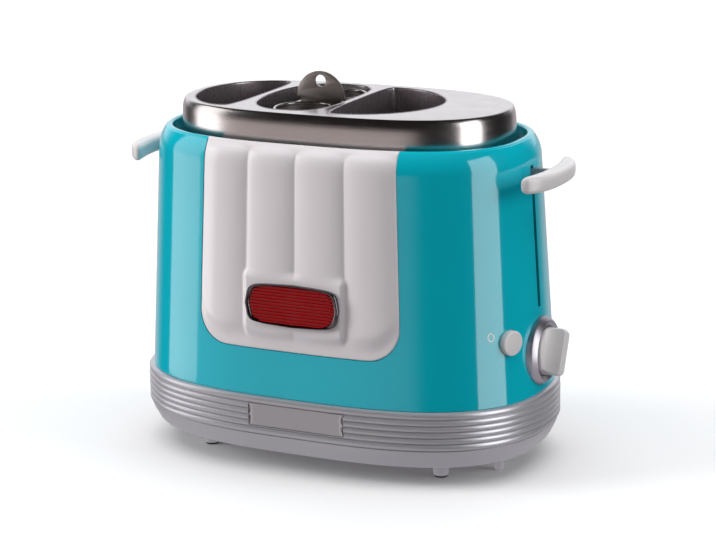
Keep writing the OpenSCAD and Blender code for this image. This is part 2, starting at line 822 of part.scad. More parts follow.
// ---- Oven box ----
oven_top = moat_z - seat_t;
left_half = 44;
left_chamfer = 25;
arm_slot = 5;
arm_h = 8;
arm_top = rest_z - 2;
arm_bottom = arm_top - arm_h;
rail_y = oven_half - sheet_t - 2.5;
rail_t = 2;
function oven_outline(t) =
    [[oven_left_x - sheet_t + t, -left_half + t * 0.4],
     [oven_left_x + left_chamfer + t * 0.6, -oven_half + t],
     [oven_right_x + sheet_t - t, -oven_half + t],
     [oven_right_x + sheet_t - t, oven_half - t],
     [oven_left_x + left_chamfer + t * 0.6, oven_half - t],
     [oven_left_x - sheet_t + t, left_half - t * 0.4]];

tray_roof = floor_z + 12;
module oven_box() {
    slot_low = arm_bottom - travel - 4;
    color("#9a9a9e") in_frame()
        difference() {
            union() {
                prism(oven_outline(0), floor_z, oven_top);
            }
            prism(oven_outline(sheet_t), floor_z + 1.5, oven_top + 1);
            // Only the screw tabs stay of the floor
            block([oven_left_x + 15, -oven_half * 2, floor_z - 1],
                  [oven_right_x - 14, oven_half * 2, floor_z + 2]);
            block([oven_left_x * 2, -22, floor_z - 1], [oven_right_x * 2, 22, floor_z + 2]);
            block([oven_right_x - 20, -42, floor_z - 1], [oven_right_x, 42, floor_z + 2]);
            // Way for the crumb tray, and the like opening in front of it
            block([tray_x - tray_w / 2 - 1.2, -oven_half * 2, floor_z - 1],
                  [tray_x + tray_w / 2 + 1.2, oven_half * 2, tray_roof]);
            // Slots for the arms of the carriage
            block([oven_right_x - 3, -arm_slot, slot_low], [oven_right_x + 4, arm_slot, arm_top + 4]);
            block([oven_left_x - 4, -arm_slot, slot_low], [oven_left_x + 3, arm_slot, arm_top + 4]);
            for (p = base_screw_at)
                translate([p[0], p[1], 0])
                    rod(2.05, floor_z - 1, floor_z + 2, 32);
            // Slots that hold the ears of the two middle boards
            for (x = middle_boards)
                for (z = ear_z)
                    block([x - mica_t / 2 - 0.15, -oven_half * 2, z[0] - 0.15],
                          [x + mica_t / 2 + 0.15, oven_half * 2, z[1] + 0.15]);
        }
}

// ---- Heaters ----
board_half = 53;
board_low = 44;
board_high = oven_top - 3;
ear_z = [[46, 58], [board_high - 16, board_high - 2]];
left_land = (left_well_x + left_well_in + basket_well_x - basket_well_half) / 2;
right_land = (basket_well_x + basket_well_half + right_well_x - right_well_in) / 2;
middle_boards = [left_land, right_land];
end_board_half = 40;
end_board_slot = arm_slot + 2.5;

module middle_board(x) {
    block([x - mica_t / 2, -board_half, board_low], [x + mica_t / 2, board_half, board_high]);
    for (z = ear_z)
        block([x - mica_t / 2, -oven_half, z[0]], [x + mica_t / 2, oven_half, z[1]]);
}

module end_board(x, half) {
    for (side = [-1, 1])
        scale([1, side, 1])
            block([x, end_board_slot, board_low], [x + mica_t, half, board_high]);
}

module heater_boards() {
    color("#b9a27c") in_frame() {
        for (x = middle_boards)
            middle_board(x);
        end_board(oven_left_x, end_board_half);
        end_board(oven_right_x - mica_t, board_half);
    }
}

// One heated face: a flat ribbon that runs to and fro from y0 to y1
ribbon_t = 0.25;
ribbon_h = 2.2;
module ribbon(x, y0, y1) {
    low = ear_z[0][1] + 2;
    pitch = (ear_z[1][0] - 4 - low) / (ribbon_rows - 1);
    for (k = [0:ribbon_rows - 1])
        block([x, y0, low + k * pitch], [x + ribbon_t, y1, low + k * pitch + ribbon_h]);
    for (k = [0:ribbon_rows - 2]) {
        y = k % 2 == 0 ? y1 - ribbon_h : y0;
        block([x, y, low + k * pitch], [x + ribbon_t, y + ribbon_h, low + (k + 1) * pitch + ribbon_h]);
    }
}

module heating_ribbon() {
    margin = 4;
    color("#6d6560") in_frame() {
        for (x = middle_boards)
            for (face = [x - mica_t / 2 - ribbon_t, x + mica_t / 2])
                ribbon(face, -board_half + margin, board_half - margin);
        for (side = [-1, 1])
            scale([1, side, 1]) {
                ribbon(oven_left_x + mica_t, end_board_slot + 2, end_board_half - 2);
                ribbon(oven_right_x - mica_t - ribbon_t, end_board_slot + 2, board_half - margin);
            }
    }
}

// One guard: upright wires between an upper and a lower strip
guard_off = 3.2;
strip_h = 3;
module guard(x, half, ends) {
    ys = [for (k = [-2.5:1:2.5]) k * 2 * half / 6];
    for (z = [board_low - 5, oven_top - strip_h])
        block([x - guard_d / 2, -ends, z], [x + guard_d / 2, ends, z + strip_h]);
    for (y = ys)
        translate([x, y, 0])
            rod(guard_d / 2 - 0.05, board_low - 4, oven_top - 1, 24);
}

module wire_guards() {
    ends = oven_half - sheet_t;
    color("#8f8d8c") in_frame() {
        for (x = middle_boards)
            for (side = [-1, 1])
                guard(x + side * guard_off, board_half - 4, ends);
        guard(oven_left_x + 2.6, end_board_half - 4, left_half);
        guard(oven_right_x - guard_off + 0.2, board_half - 4, ends);
    }
}

// ---- Guides, spring and latch ----
bracket_t = 2;
module guide_rods() {
    color("#b8b8bc") in_frame()
        for (p = rod_at)
            translate([p[0], p[1], 0])
                rod(rod_d / 2, floor_z + 0.6, oven_top - 0.3);
}

module rod_brackets() {
    right_x = oven_right_x + sheet_t;
    left_x = oven_left_x - sheet_t;
    color("#9a9a9e") in_frame()
        difference() {
            union() {
                block([right_x, -30, oven_top - bracket_t], [slider_x + 8, 30, oven_top]);
                block([right_x, -30, oven_top - 14], [right_x + 1.5, 30, oven_top]);
                block([rod_at[2][0] - 4, 10, oven_top - bracket_t], [left_x, 22, oven_top]);
                block([left_x - 1.5, 10, oven_top - 14], [left_x, 22, oven_top]);
            }
            for (p = rod_at)
                translate([p[0], p[1], 0])
                    rod(rod_d / 2 + fit, oven_top - 5, oven_top + 1);
        }
}

slider_low = arm_top - 13;
slider_high = arm_top + 5;
spring_wire = 0.7;
module return_spring() {
    color("#77777b") in_frame()
        translate([slider_x, 0, 0])
            helix(5, spring_wire, 12, slider_high + spring_wire + 0.1,
                  oven_top - bracket_t - spring_wire - 0.1);
}

armature_low = slider_low - 3;
pole_top = armature_low - travel - 0.4;
module magnet_core() {
    color("#5b5b5f") in_frame() {
        block([slider_x - 6, -8, floor_z], [slider_x + 6, 8, 31]);
        block([slider_x - 6, -14, 30], [slider_x + 6, 14, 36]);
        for (side = [-1, 1])
            scale([1, side, 1])
                block([slider_x - 5, 8, 35], [slider_x + 5, 14, pole_top]);
    }
}

module magnet_coil() {
    color("#b5642d") in_frame()
        for (side = [-1, 1])
            scale([1, side, 1])
                difference() {
                    block([slider_x - 8, 4.5, 36 + gap], [slider_x + 8, 17.5, pole_top - 3]);
                    block([slider_x - 5 - gap, 8 - gap, 30], [slider_x + 5 + gap, 14 + gap, 80]);
                }
}

// ---- Control board, switch and timer ----
button_body = 5;
button_stem_len = 11;
board_t = 1.6;
switch_deep = button_body + button_stem_len + button_travel + 0.3;
board_back = switch_deep + 6;
module control_board() {
    color("#2f6b3c") in_frame()
        on_button_axis()
            block([-board_back - board_t, -20, -30], [-board_back, 10, 30]);
}

module board_stand() {
    low = floor_z - button_z;
    back = -board_back - board_t;
    color("#9a9a9e") in_frame()
        on_button_axis() {
            block([back - 1.5, -14, low], [back, 4, -12]);
            block([back - 1.5, -14, low], [back + 10, 4, low + 1.5]);
        }
}

module board_components() {
    color("#2a2a30") in_frame()
        on_button_axis() {
            block([-board_back, -17, -27], [-board_back + 9, -5, -13]);
            translate([-board_back, 1, -20])
                rotate([0, 90, 0])
                    rod(4, 0, 10, 32);
            block([-board_back, -16, 15], [-board_back + 3, -2, 25]);
        }
}

module cancel_switch() {
    color("#3c3c40") in_frame()
        on_button_axis()
            block([-board_back, -6, -6], [-switch_deep, 6, 6]);
}

bezel_face_x = half_l + 1;
bezel_rim_x = bezel_face_x + 2.6;
timer_x = half_l - 14;
timer_back_x = half_l - 36;
timer_half_h = 17;
module timer_stand() {
    color("#9a9a9e") in_frame() {
        block([timer_back_x + 2, -12, floor_z], [timer_back_x + 4, 12, knob_z - timer_half_h]);
        block([timer_back_x + 2, -12, knob_z - timer_half_h - 1.5], [timer_x, 12, knob_z - timer_half_h]);
        block([timer_back_x + 2, -12, floor_z], [timer_x - 6, 12, floor_z + 1.5]);
    }
}

module timer_body() {
    color("#4a4a50") in_frame()
        difference() {
            union() {
                block([timer_back_x, -14, knob_z - timer_half_h], [timer_x, 14, knob_z + timer_half_h]);
                on_knob_axis()
                    rod(5.5, timer_x - 1, bezel_face_x - 4 - 0.1);
            }
            on_knob_axis()
                rod(shaft_d / 2 + fit, timer_back_x + 6, bezel_face_x);
        }
}

module knob_bezel() {
    r = bezel_d / 2;
    skirt_r = knob_skirt_d / 2;
    color("#77757a") in_frame()
        on_knob_axis()
            rotate_extrude($fn = 96)
                polygon([[shaft_d / 2 + 0.4, bezel_face_x - 4], [r - 2.4, bezel_face_x - 4],
                         [r - 2.4, half_l - 8.5], [r, half_l - 8.5], [r, bezel_face_x - 2],
                         [r - 0.8, bezel_face_x], [r - 2.8, bezel_rim_x - 0.3],
                         [r - 3.6, bezel_rim_x], [r - 4.4, bezel_rim_x - 0.6],
                         [skirt_r + 1.2, bezel_face_x + 0.6], [skirt_r + 1.2, bezel_face_x],
                         [shaft_d / 2 + 0.4, bezel_face_x]]);
}

// Round skirt and a bar across it, scooped on both sides
scoop_r = 22;
module knob_grip() {
    r = knob_skirt_d / 2;
    x0 = bezel_face_x + 0.4;
    x1 = bezel_rim_x + grip_out;
    end_arc = [for (k = [0:6])
        [r - grip_round + grip_round * cos(15 * k), x1 - grip_round + grip_round * sin(15 * k)]];
    color("#eeeceb") in_frame()
        rotate_about_knob(-grip_turn)
            difference() {
                union() {
                    on_knob_axis()
                        rod(r, x0, x0 + 3, 64);
                    intersection() {
                        on_knob_axis()
                            rotate_extrude($fn = 64)
                                polygon(concat([[0, x0 + 1], [r, x0 + 1]], end_arc, [[0, x1]]));
                        difference() {
                            block([x0, -r - 1, knob_z - r - 1], [x1 + 1, r + 1, knob_z + r + 1]);
                            for (side = [-1, 1])
                                translate([x1 + 2, side * (grip_t / 2 + scoop_r - 0.5), knob_z - 40])
                                    cylinder(r = scoop_r, h = 80, $fn = 96);
                        }
                    }
                }
                on_knob_axis()
                    rod(shaft_d / 2 + fit, 0, x1 - 4);
            }
}

module rotate_about_knob(a) {
    translate([0, 0, knob_z])
        rotate([a, 0, 0])
            translate([0, 0, -knob_z])
                children();
}

module knob_shaft() {
    color("#b0b0b4") in_frame()
        on_knob_axis()
            rod(shaft_d / 2, timer_back_x + 7, bezel_rim_x + grip_out - 4.2);
}

// ---- Cancel button ----
guide_wall = 2;
guide_front = shell_wall + 1.5;
guide_back = button_body + button_travel + 1.2;
module button_cap() {
    r = button_d / 2;
    color("#f2f0ef") in_frame()
        on_button_axis()
            rotate([0, 90, 0])
                rotate_extrude($fn = 64)
                    polygon([[0, -button_body], [r, -button_body], [r, button_out - 1.6],
                             [r - 0.6, button_out - 0.6], [r - 2, button_out - 0.1],
                             [0, button_out]]);
}

module button_stem() {
    color("#d9d7d6") in_frame()
        on_button_axis()
            rotate([0, 90, 0])
                rod(3, -button_body - button_stem_len, -button_body);
}

module button_guide() {
    r = button_d / 2 + gap;
    color("#d0cecd") in_frame()
        on_button_axis() {
            rotate([0, 90, 0])
                difference() {
                    rod(r + guide_wall, -guide_back - 2, -guide_front);
                    rod(r, -guide_back, 0);
                    rod(3 + fit, -30, 0);
                }
            for (z = [-1, 1])
                translate([0, 0, z * (r - 0.5)])
                    rotate([0, 90, 0])
                        rod(2, -board_back, -guide_back - 1, 32);
        }
}

module terminal_block() {
    color("#e5e2dc") in_frame()
        difference() {
            block([half_l - 50, 38, floor_z], [half_l - 34, 56, floor_z + 12]);
            for (y = [42.5, 51.5])
                translate([half_l - 42, y, 0])
                    rod(2, floor_z + 4, floor_z + 14, 24);
        }
}

// ---- Carriage ----
rail_left = oven_left_x + left_chamfer + 1.5;
left_bar_x = rail_left + 2;
right_bar_x = oven_right_x - 15;
rail_right = oven_right_x - 5;
riser_t = 2;
left_riser_x = oven_left_x - 5;
right_riser_x = slider_x + 8;
stem_in_bar = 7;
bar_face = skin_a(bar_z) + bar_gap;       // inner face of a bar at its middle
bar_cx = bar_face + bar_t / 2;

// Ladder of two rails and two cross bars, with an arm out to each end
module carriage_frame() {
    low = arm_bottom;
    color("#a2a2a6") in_frame()
        union() {
            for (side = [-1, 1])
                scale([1, side, 1])
                    block([rail_left, rail_y - rail_t, low], [rail_right, rail_y, arm_top]);
            for (x = [left_bar_x, right_bar_x])
                block([x - 2, -rail_y, low], [x + 2, rail_y, arm_top]);
            block([right_bar_x, -2, low], [slider_x - 8, 2, arm_top]);
            block([left_riser_x, -2, low], [left_bar_x, 2, arm_top]);
        }
}

// Right riser on the slider, with the stem that carries the bar
module bar_arm_right() {
    color("#a2a2a6") in_frame()
        union() {
            block([right_riser_x, -4, arm_bottom], [right_riser_x + riser_t, 4, bar_z + stem_h / 2]);
            block([right_riser_x, -stem_t / 2, bar_z - stem_h / 2],
                  [bar_face + stem_in_bar, stem_t / 2, bar_z + stem_h / 2]);
        }
}

// Left riser on the ladder, with a link to its bush and the stem that carries the bar
module bar_arm_left() {
    back = left_riser_x - riser_t;
    color("#a2a2a6") in_frame()
        union() {
            block([back, -4, arm_bottom], [left_riser_x, 4, bar_z + stem_h / 2]);
            block([back, 3, arm_bottom], [left_riser_x, rod_at[2][1] - 7, arm_top]);
            block([-bar_face - stem_in_bar, -stem_t / 2, bar_z - stem_h / 2],
                  [left_riser_x, stem_t / 2, bar_z + stem_h / 2]);
        }
}

// Rest under a bun: a plate with crumb slots, and tabs that stand on the rails
module rest_plate(outline, x_mid, reach, tab_x) {
    t = 1.6;
    color("#b0b0b4") in_frame()
        difference() {
            union() {
                prism(outline, arm_top, arm_top + t);
                block([tab_x - 5, -rail_y, arm_top], [tab_x + 5, rail_y, arm_top + t]);
            }
            for (k = [-2:2])
                block([x_mid - reach, k * 12 - 1.6, arm_top - 1],
                      [x_mid + reach, k * 12 + 1.6, arm_top + t + 1]);
        }
}

module bun_rest_left() {
    rest_plate(left_well(-4), left_well_x - 10.5, 14, left_well_x - 6);
}

module bun_rest_right() {
    rest_plate(right_well(-4), right_well_x + 16, 19, right_well_x + 16);
}

cage_r = sausage_bore / 2;
cage_wall = 0.8;
basket_plate_t = 1.2;
cage_low = basket_ring_z - 1.4 - basket_plate_t - cage_h;
cradle_top = cage_low - 0.2;
module basket_cradle() {
    y = rail_y - rail_t;
    w = 7;
    color("#a2a2a6") in_frame() {
        block([basket_x - w, -y, cradle_top - 1.5], [basket_x + w, y, cradle_top]);
        for (side = [-1, 1])
            scale([1, side, 1])
                block([basket_x - w, y - 1.5, cradle_top - 1.5], [basket_x + w, y, arm_top]);
    }
}

module slider_block() {
    color("#d8d6d0") in_frame()
        difference() {
            block([slider_x - 8, -30, slider_low], [slider_x + 8, 30, slider_high]);
            for (k = [0, 1])
                translate([rod_at[k][0], rod_at[k][1], 0])
                    rod(rod_d / 2 + fit, slider_low - 1, slider_high + 1);
        }
}

module left_guide_bush() {
    color("#d8d6d0") in_frame()
        difference() {
            block([rod_at[2][0] - 5.5, rod_at[2][1] - 7, arm_bottom],
                  [left_riser_x, rod_at[2][1] + 7, arm_top + 4]);
            translate([rod_at[2][0], rod_at[2][1], 0])
                rod(rod_d / 2 + fit, arm_bottom - 1, arm_top + 5);
        }
}

module armature_plate() {
    color("#6b6b70") in_frame()
        block([slider_x - 6, -15, armature_low], [slider_x + 6, 15, slider_low]);
}

// Outline of a push bar in plan, x outwards from the middle of the toaster
function bar_outline(inset, z) =
    let (n = 48)
    [for (i = [0:n - 1])
        let (t = 360 * i / n, c = cos(t), s = sin(t),
             y = (bar_len / 2 - inset) * sign(s) * pow(abs(s), 0.55),
             off = (bar_t / 2 - inset) * sign(c) * pow(abs(c), 0.8))
        [bar_cx - bar_bow * pow(abs(y) / (bar_len / 2), 2.6) + off, y, z]];

bar_round = [[2.2, 0], [0.7, 0.1], [0, 0.3], [0, 0.7], [0.7, 0.9], [2.2, 1]];
module push_bar_solid() {
    difference() {
        stack([for (r = bar_round) bar_outline(r[0], bar_z - bar_h / 2 + bar_h * r[1])]);
        block([bar_face - 10, -stem_t / 2 - 0.1, bar_z - stem_h / 2 - 0.1],
              [bar_face + stem_in_bar + 0.2, stem_t / 2 + 0.1, bar_z + stem_h / 2 + 0.1]);
    }
}

module push_bar_right() {
    color("#e8e5e5") in_frame()
        push_bar_solid();
}

module push_bar_left() {
    color("#e8e5e5") in_frame()
        mirror([1, 0, 0])
            push_bar_solid();
}

// ---- Sausage basket ----
basket_plate_z = basket_ring_z - 1.4 - basket_plate_t;
bridge_w = 34;
module basket_plate() {
    color("#c4c2c2") in_frame() {
        difference() {
            union() {
                for (side = [-1, 1])
                    translate([basket_x, side * sausage_y, 0])
                        rod(cage_r + 2, basket_plate_z, basket_plate_z + basket_plate_t, 96);
                block([basket_x - bridge_w / 2, -14, basket_plate_z],
                      [basket_x + bridge_w / 2, 14, basket_plate_z + basket_plate_t]);
            }
            for (side = [-1, 1])
                translate([basket_x, side * sausage_y, 0])
                    rod(cage_r, basket_plate_z - 1, basket_plate_z + 3, 96);
        }
        for (side = [-1, 1])
            translate([basket_x, side * sausage_y, basket_plate_z + basket_plate_t])
                rotate_extrude($fn = 96)
                    polygon([[cage_r, 0], [cage_r + 2, 0], [cage_r + 1.9, 0.9],
                             [cage_r + 1, 1.4], [cage_r + 0.1, 0.9]]);
    }
}

module basket_tab() {
    z0 = basket_plate_z + basket_plate_t;
    top = basket_ring_z + tab_rise;
    r = tab_w / 2;
    foot = top - r;
    color("#a19d99") in_frame()
        translate([basket_x, tab_t / 2, 0])
            rotate([90, 0, 0])
                linear_extrude(height = tab_t)
                    difference() {
                        union() {
                            intersection() {
                                translate([0, foot])
                                    circle(r = r, $fn = 96);
                                translate([-r, z0])
                                    square([2 * r, top]);
                            }
                            translate([-bridge_w / 2 + 1, z0])
                                square([bridge_w - 2, 3]);
                        }
                        translate([0, top - tab_hole_drop])
                            circle(d = tab_hole_d, $fn = 48);
                    }
}

// Slotted cage for one sausage: windows all round in three rows, and slots in its floor
module sausage_cage(side) {
    windows = 8;
    color("#b6b4b4") in_frame()
        translate([basket_x, side * sausage_y, 0])
            difference() {
                rod(cage_r + cage_wall, cage_low, basket_plate_z, 96);
                rod(cage_r, cage_low + 1, basket_plate_z + 1, 96);
                for (k = [0:windows / 2 - 1])
                    rotate([0, 0, 180 * k / (windows / 2)])
                        for (row = [0:2])
                            block([-cage_r - 5, -5, cage_low + 6 + row * 38],
                                  [cage_r + 5, 5, cage_low + 6 + row * 38 + 32]);
                for (k = [-2:2])
                    block([-12, k * 6 - 1.5, cage_low - 1], [12, k * 6 + 1.5, cage_low + 2]);
            }
}

module sausage_cage_front() {
    sausage_cage(-1);
}

module sausage_cage_back() {
    sausage_cage(1);
}

// ---- Crumb tray ----
tray_wall = 1.2;
tray_front_y = -(oven_half - 8);
function base_face_out(z) = lookup(z, [for (r = base_outside) [r[1], r[0]]]);
module crumb_tray() {
    x0 = tray_x - tray_w / 2;
    x1 = tray_x + tray_w / 2;
    y1 = plate_edge_b - 2.7;
    cols = 16;
    zs = [tray_face_bottom, (tray_face_bottom + tray_face_top) / 2, tray_face_top];
    face_x = [for (c = [0:cols]) -x1 + (x1 - x0) * c / cols];
    outer = [for (z = zs) [for (x = face_x)
        [x, -curve_y(half_l + base_face_out(z) - 0.4, half_d + base_face_out(z) - 0.4, x), z]]];
    inner = [for (z = zs) [for (x = face_x)
        [x, -curve_y(half_l + base_face_out(z) - 0.4, half_d + base_face_out(z) - 0.4, x) + 3.5, z]]];
    color("#9b999b") in_frame() {
        difference() {
            block([x0, tray_front_y, tray_floor_z], [x1, y1, tray_roof - 2.5]);
            block([x0 + tray_wall, tray_front_y + tray_wall, tray_floor_z + tray_wall],
                  [x1 - tray_wall, y1 - tray_wall, tray_roof + 1]);
        }
        rotate([0, 0, 180])
            slab(outer, inner);
        block([tray_x - 18, y1 - 1, tray_floor_z + 0.6], [tray_x + 18, half_d - 3, tray_floor_z + 2.2]);
    }
}

shell();
front_panel();
badge_frame();
badge_insert();
top_plate();
plate_skirt();
left_well_liner();
basket_well_liner();
right_well_liner();
seat_ring();
base_ring();
nameplate();
base_plate();
feet();
foot_pads();
cord_pegs();
base_screws();
oven_box();
heater_boards();
heating_ribbon();
wire_guards();
guide_rods();
rod_brackets();
return_spring();
magnet_core();
magnet_coil();
control_board();
board_components();
board_stand();
cancel_switch();
timer_body();
timer_stand();
knob_bezel();
button_guide();
cord_gland();
terminal_block();
carriage_frame();
bun_rest_left();
bun_rest_right();
basket_cradle();
slider_block();
left_guide_bush();
armature_plate();
bar_arm_right();
bar_arm_left();
push_bar_right();
push_bar_left();
basket_plate();
basket_tab();
sausage_cage_front();
sausage_cage_back();
knob_grip();
knob_shaft();
button_cap();
button_stem();
crumb_tray();
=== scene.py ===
import math

import bmesh
import bpy
import numpy as np
from mathutils import Matrix, Vector


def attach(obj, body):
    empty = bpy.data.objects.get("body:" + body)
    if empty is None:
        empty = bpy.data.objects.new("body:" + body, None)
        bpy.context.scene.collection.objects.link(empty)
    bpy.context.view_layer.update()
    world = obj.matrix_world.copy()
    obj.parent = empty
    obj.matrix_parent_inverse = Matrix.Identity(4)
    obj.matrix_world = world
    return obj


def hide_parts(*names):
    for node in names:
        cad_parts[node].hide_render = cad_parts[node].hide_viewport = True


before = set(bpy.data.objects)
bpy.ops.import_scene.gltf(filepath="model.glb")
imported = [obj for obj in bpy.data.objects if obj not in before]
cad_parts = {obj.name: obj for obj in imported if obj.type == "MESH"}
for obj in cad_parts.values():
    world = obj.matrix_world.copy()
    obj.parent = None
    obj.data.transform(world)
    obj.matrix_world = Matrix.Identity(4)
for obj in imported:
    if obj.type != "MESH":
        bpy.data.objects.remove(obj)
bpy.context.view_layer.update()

# ---- Camera ----
# The photograph was taken from the right of the front and a little above, through a
# long lens, with the picture turned by about one degree.
azimuth, elevation, roll = map(math.radians, (26.229, 14.660, -1.080))
target, distance = Vector((0.006345, 0.0, 0.127367)), 1.634448
back = Vector((math.sin(azimuth) * math.cos(elevation),
               -math.cos(azimuth) * math.cos(elevation), math.sin(elevation)))
level = Vector((math.cos(azimuth), math.sin(azimuth), 0.0))
rise = back.cross(level)
across = math.cos(roll) * level + math.sin(roll) * rise
upwards = math.cos(roll) * rise - math.sin(roll) * level
lens = bpy.data.cameras.new("lens")
lens.sensor_width = 36.0
lens.lens = 115.613
lens.clip_start, lens.clip_end = 0.05, 50.0
camera = bpy.data.objects.new("camera", lens)
camera.matrix_world = Matrix((
    (across.x, upwards.x, back.x, target.x + distance * back.x),
    (across.y, upwards.y, back.y, target.y + distance * back.y),
    (across.z, upwards.z, back.z, target.z + distance * back.z),
    (0, 0, 0, 1)))
bpy.context.scene.collection.objects.link(camera)
bpy.context.scene.camera = camera
bpy.context.scene.view_settings.view_transform = "Standard"
bpy.context.scene.view_settings.look = "None"


# ---- Shell ----
# The body of the toaster: one deep-drawn steel skin, stove-enamelled in gloss teal.
# It leans in as it rises, rolls over at the shoulder and ends in a narrow lip, and it
# has a window for the white panel, a slot at each end, and holes for knob and button.
half_l, half_d = 148.0, 89.9
seam_z, shoulder_z, lip_z, moat_z = 56.0, 215.0, 231.0, 222.0
lean = 9.1 / (shoulder_z - seam_z)
shoulder_in, lip_w, shell_wall = 4.9, 4.0, 2.4
lip_drop, lip_crown = 0.9, 1.3
around = 360
plan_p, plan_q = 2.93, 2.43


def skin_in(z):
    """How far the skin lies in from its foot at height z: a straight lean, plus a
    power curve from the shoulder to the lip."""
    over = np.clip((np.asarray(z, float) - shoulder_z) / (lip_z - shoulder_z), 0, None)
    return lean * (np.asarray(z, float) - seam_z) + shoulder_in * over ** 2.2


def curve_y(a, b, x):
    """Half depth of the plan curve |x/a|^p + |y/b|^q = 1 at x."""
    return b * (1 - np.clip(np.abs(x) / a, 0, 1) ** plan_p) ** (1 / plan_q)


def plan_ring(out, n):
    """Plan curve grown by out at n points: x = a sgn(c)|c|^(2/p), y = b sgn(s)|s|^(2/q)
    for the cosine c and sine s of n even angles; out may be an array of many rings."""
    t = np.arange(n) * 2 * np.pi / n
    c, s = np.cos(t), np.sin(t)
    c, s = np.where(abs(c) < 1e-9, 0, c), np.where(abs(s) < 1e-9, 0, s)
    out = np.asarray(out, float)[..., None]
    return ((half_l + out) * np.sign(c) * np.abs(c) ** (2 / plan_p),
            (half_d + out) * np.sign(s) * np.abs(s) ** (2 / plan_q))


def quads(rows, cols, wrap_rows=False, wrap_cols=False, start=0):
    """Quads of a grid of points numbered row by row from start, closed if wrapped."""
    r = np.arange(rows if wrap_rows else rows - 1)[:, None]
    c = np.arange(cols if wrap_cols else cols - 1)[None, :]
    r1, c1 = (r + 1) % rows, (c + 1) % cols
    return (start + np.stack([r * cols + c, r * cols + c1, r1 * cols + c1, r1 * cols + c],
                             -1).reshape(-1, 4)).tolist()


def mesh_of(name, points, faces):
    """Mesh object from points in millimetres, with its faces turned outwards."""
    mesh = bpy.data.meshes.new(name)
    mesh.from_pydata(np.asarray(points, float).reshape(-1, 3) / 1000, [], faces)
    made = bpy.data.objects.new(name, mesh)
    bpy.context.scene.collection.objects.link(made)
    work = bmesh.new()
    work.from_mesh(mesh)
    bmesh.ops.recalc_face_normals(work, faces=work.faces)
    work.to_mesh(mesh)
    work.free()
    return made


def joined(name, parts):
    """One mesh object from several closed sets of points and faces."""
    points, faces, count = [], [], 0
    for p, f in parts:
        p = np.asarray(p, float).reshape(-1, 3)
        points.append(p)
        faces += [[i + count for i in face] for face in f]
        count += len(p)
    return mesh_of(name, np.concatenate(points), faces)


def bake(made):
    """Applies the modifiers of a piece."""
    solid = bpy.data.meshes.new_from_object(
        made.evaluated_get(bpy.context.evaluated_depsgraph_get()))
    made.modifiers.clear()
    made.data = solid


def carve(made, parts):
    """Cuts closed tools out of a piece."""
    tool = joined("tool", parts)
    cut = made.modifiers.new("cut", "BOOLEAN")
    cut.operation, cut.object, cut.solver = "DIFFERENCE", tool, "EXACT"
    bake(made)
    bpy.data.objects.remove(tool)


def prism(outline, low, high, axis=2):
    """Closed bar with an outline of (u, v) points, from low to high along an axis: for
    axis 2 u, v are x, y; for axis 1 they are x, z."""
    outline = np.asarray(outline, float)
    n = len(outline)
    ends = [np.insert(outline, axis, level, axis=1) for level in (low, high)]
    return np.concatenate(ends), [list(range(n)), list(range(n, 2 * n))] + quads(2, n, wrap_cols=True)


def box_of(lo, hi):
    """Closed box between two corners."""
    return prism([(lo[0], lo[1]), (hi[0], lo[1]), (hi[0], hi[1]), (lo[0], hi[1])], lo[2], hi[2])


def turned(profile, n=96):
    """Closed body of revolution about Z from (radius, z) pairs that start and end on the axis
    or form a closed ring off it."""
    profile = np.asarray(profile, float)
    t = np.arange(n) * 2 * np.pi / n
    ring = profile[:, 0].min() > 0
    body = profile if ring else profile[1:-1]
    points = np.stack([body[:, :1] * np.cos(t), body[:, :1] * np.sin(t),
                       np.repeat(body[:, 1:], n, 1)], -1).reshape(-1, 3)
    faces = quads(len(body), n, wrap_rows=ring, wrap_cols=True)
    if not ring:
        last = len(points)
        points = np.concatenate([points, [[0, 0, profile[0, 1]], [0, 0, profile[-1, 1]]]])
        faces += [[last, (i + 1) % n, i] for i in range(n)]
        faces += [[last + 1, last - n + i, last - n + (i + 1) % n] for i in range(n)]
    return points, faces


def moved(part, matrix):
    """The points of a part carried by a 4 by 4 matrix."""
    points, faces = part
    m = np.array(matrix)
    return points @ m[:3, :3].T + m[:3, 3], faces


def linear(code):
    """Linear RGBA of an sRGB colour in six hex digits: each channel c becomes c / 12.92
    if small, else ((c + 0.055) / 1.055) to the power 2.4."""
    c = np.array([int(code[i:i + 2], 16) for i in (0, 2, 4)]) / 255
    return (*np.where(c <= 0.04045, c / 12.92, ((c + 0.055) / 1.055) ** 2.4).tolist(), 1.0)


def add(tree, kind, values=(), links=()):
    """Adds a node. Values set its properties, in lower case, or its sockets; links feed sockets."""
    node = tree.nodes.new(kind)
    for key, value in dict(values).items():
        if isinstance(key, int) or key[0].isupper():
            node.inputs[key].default_value = value
        else:
            setattr(node, key, value)
    for key, socket in dict(links).items():
        tree.links.new(socket, node.inputs[key])
    return node


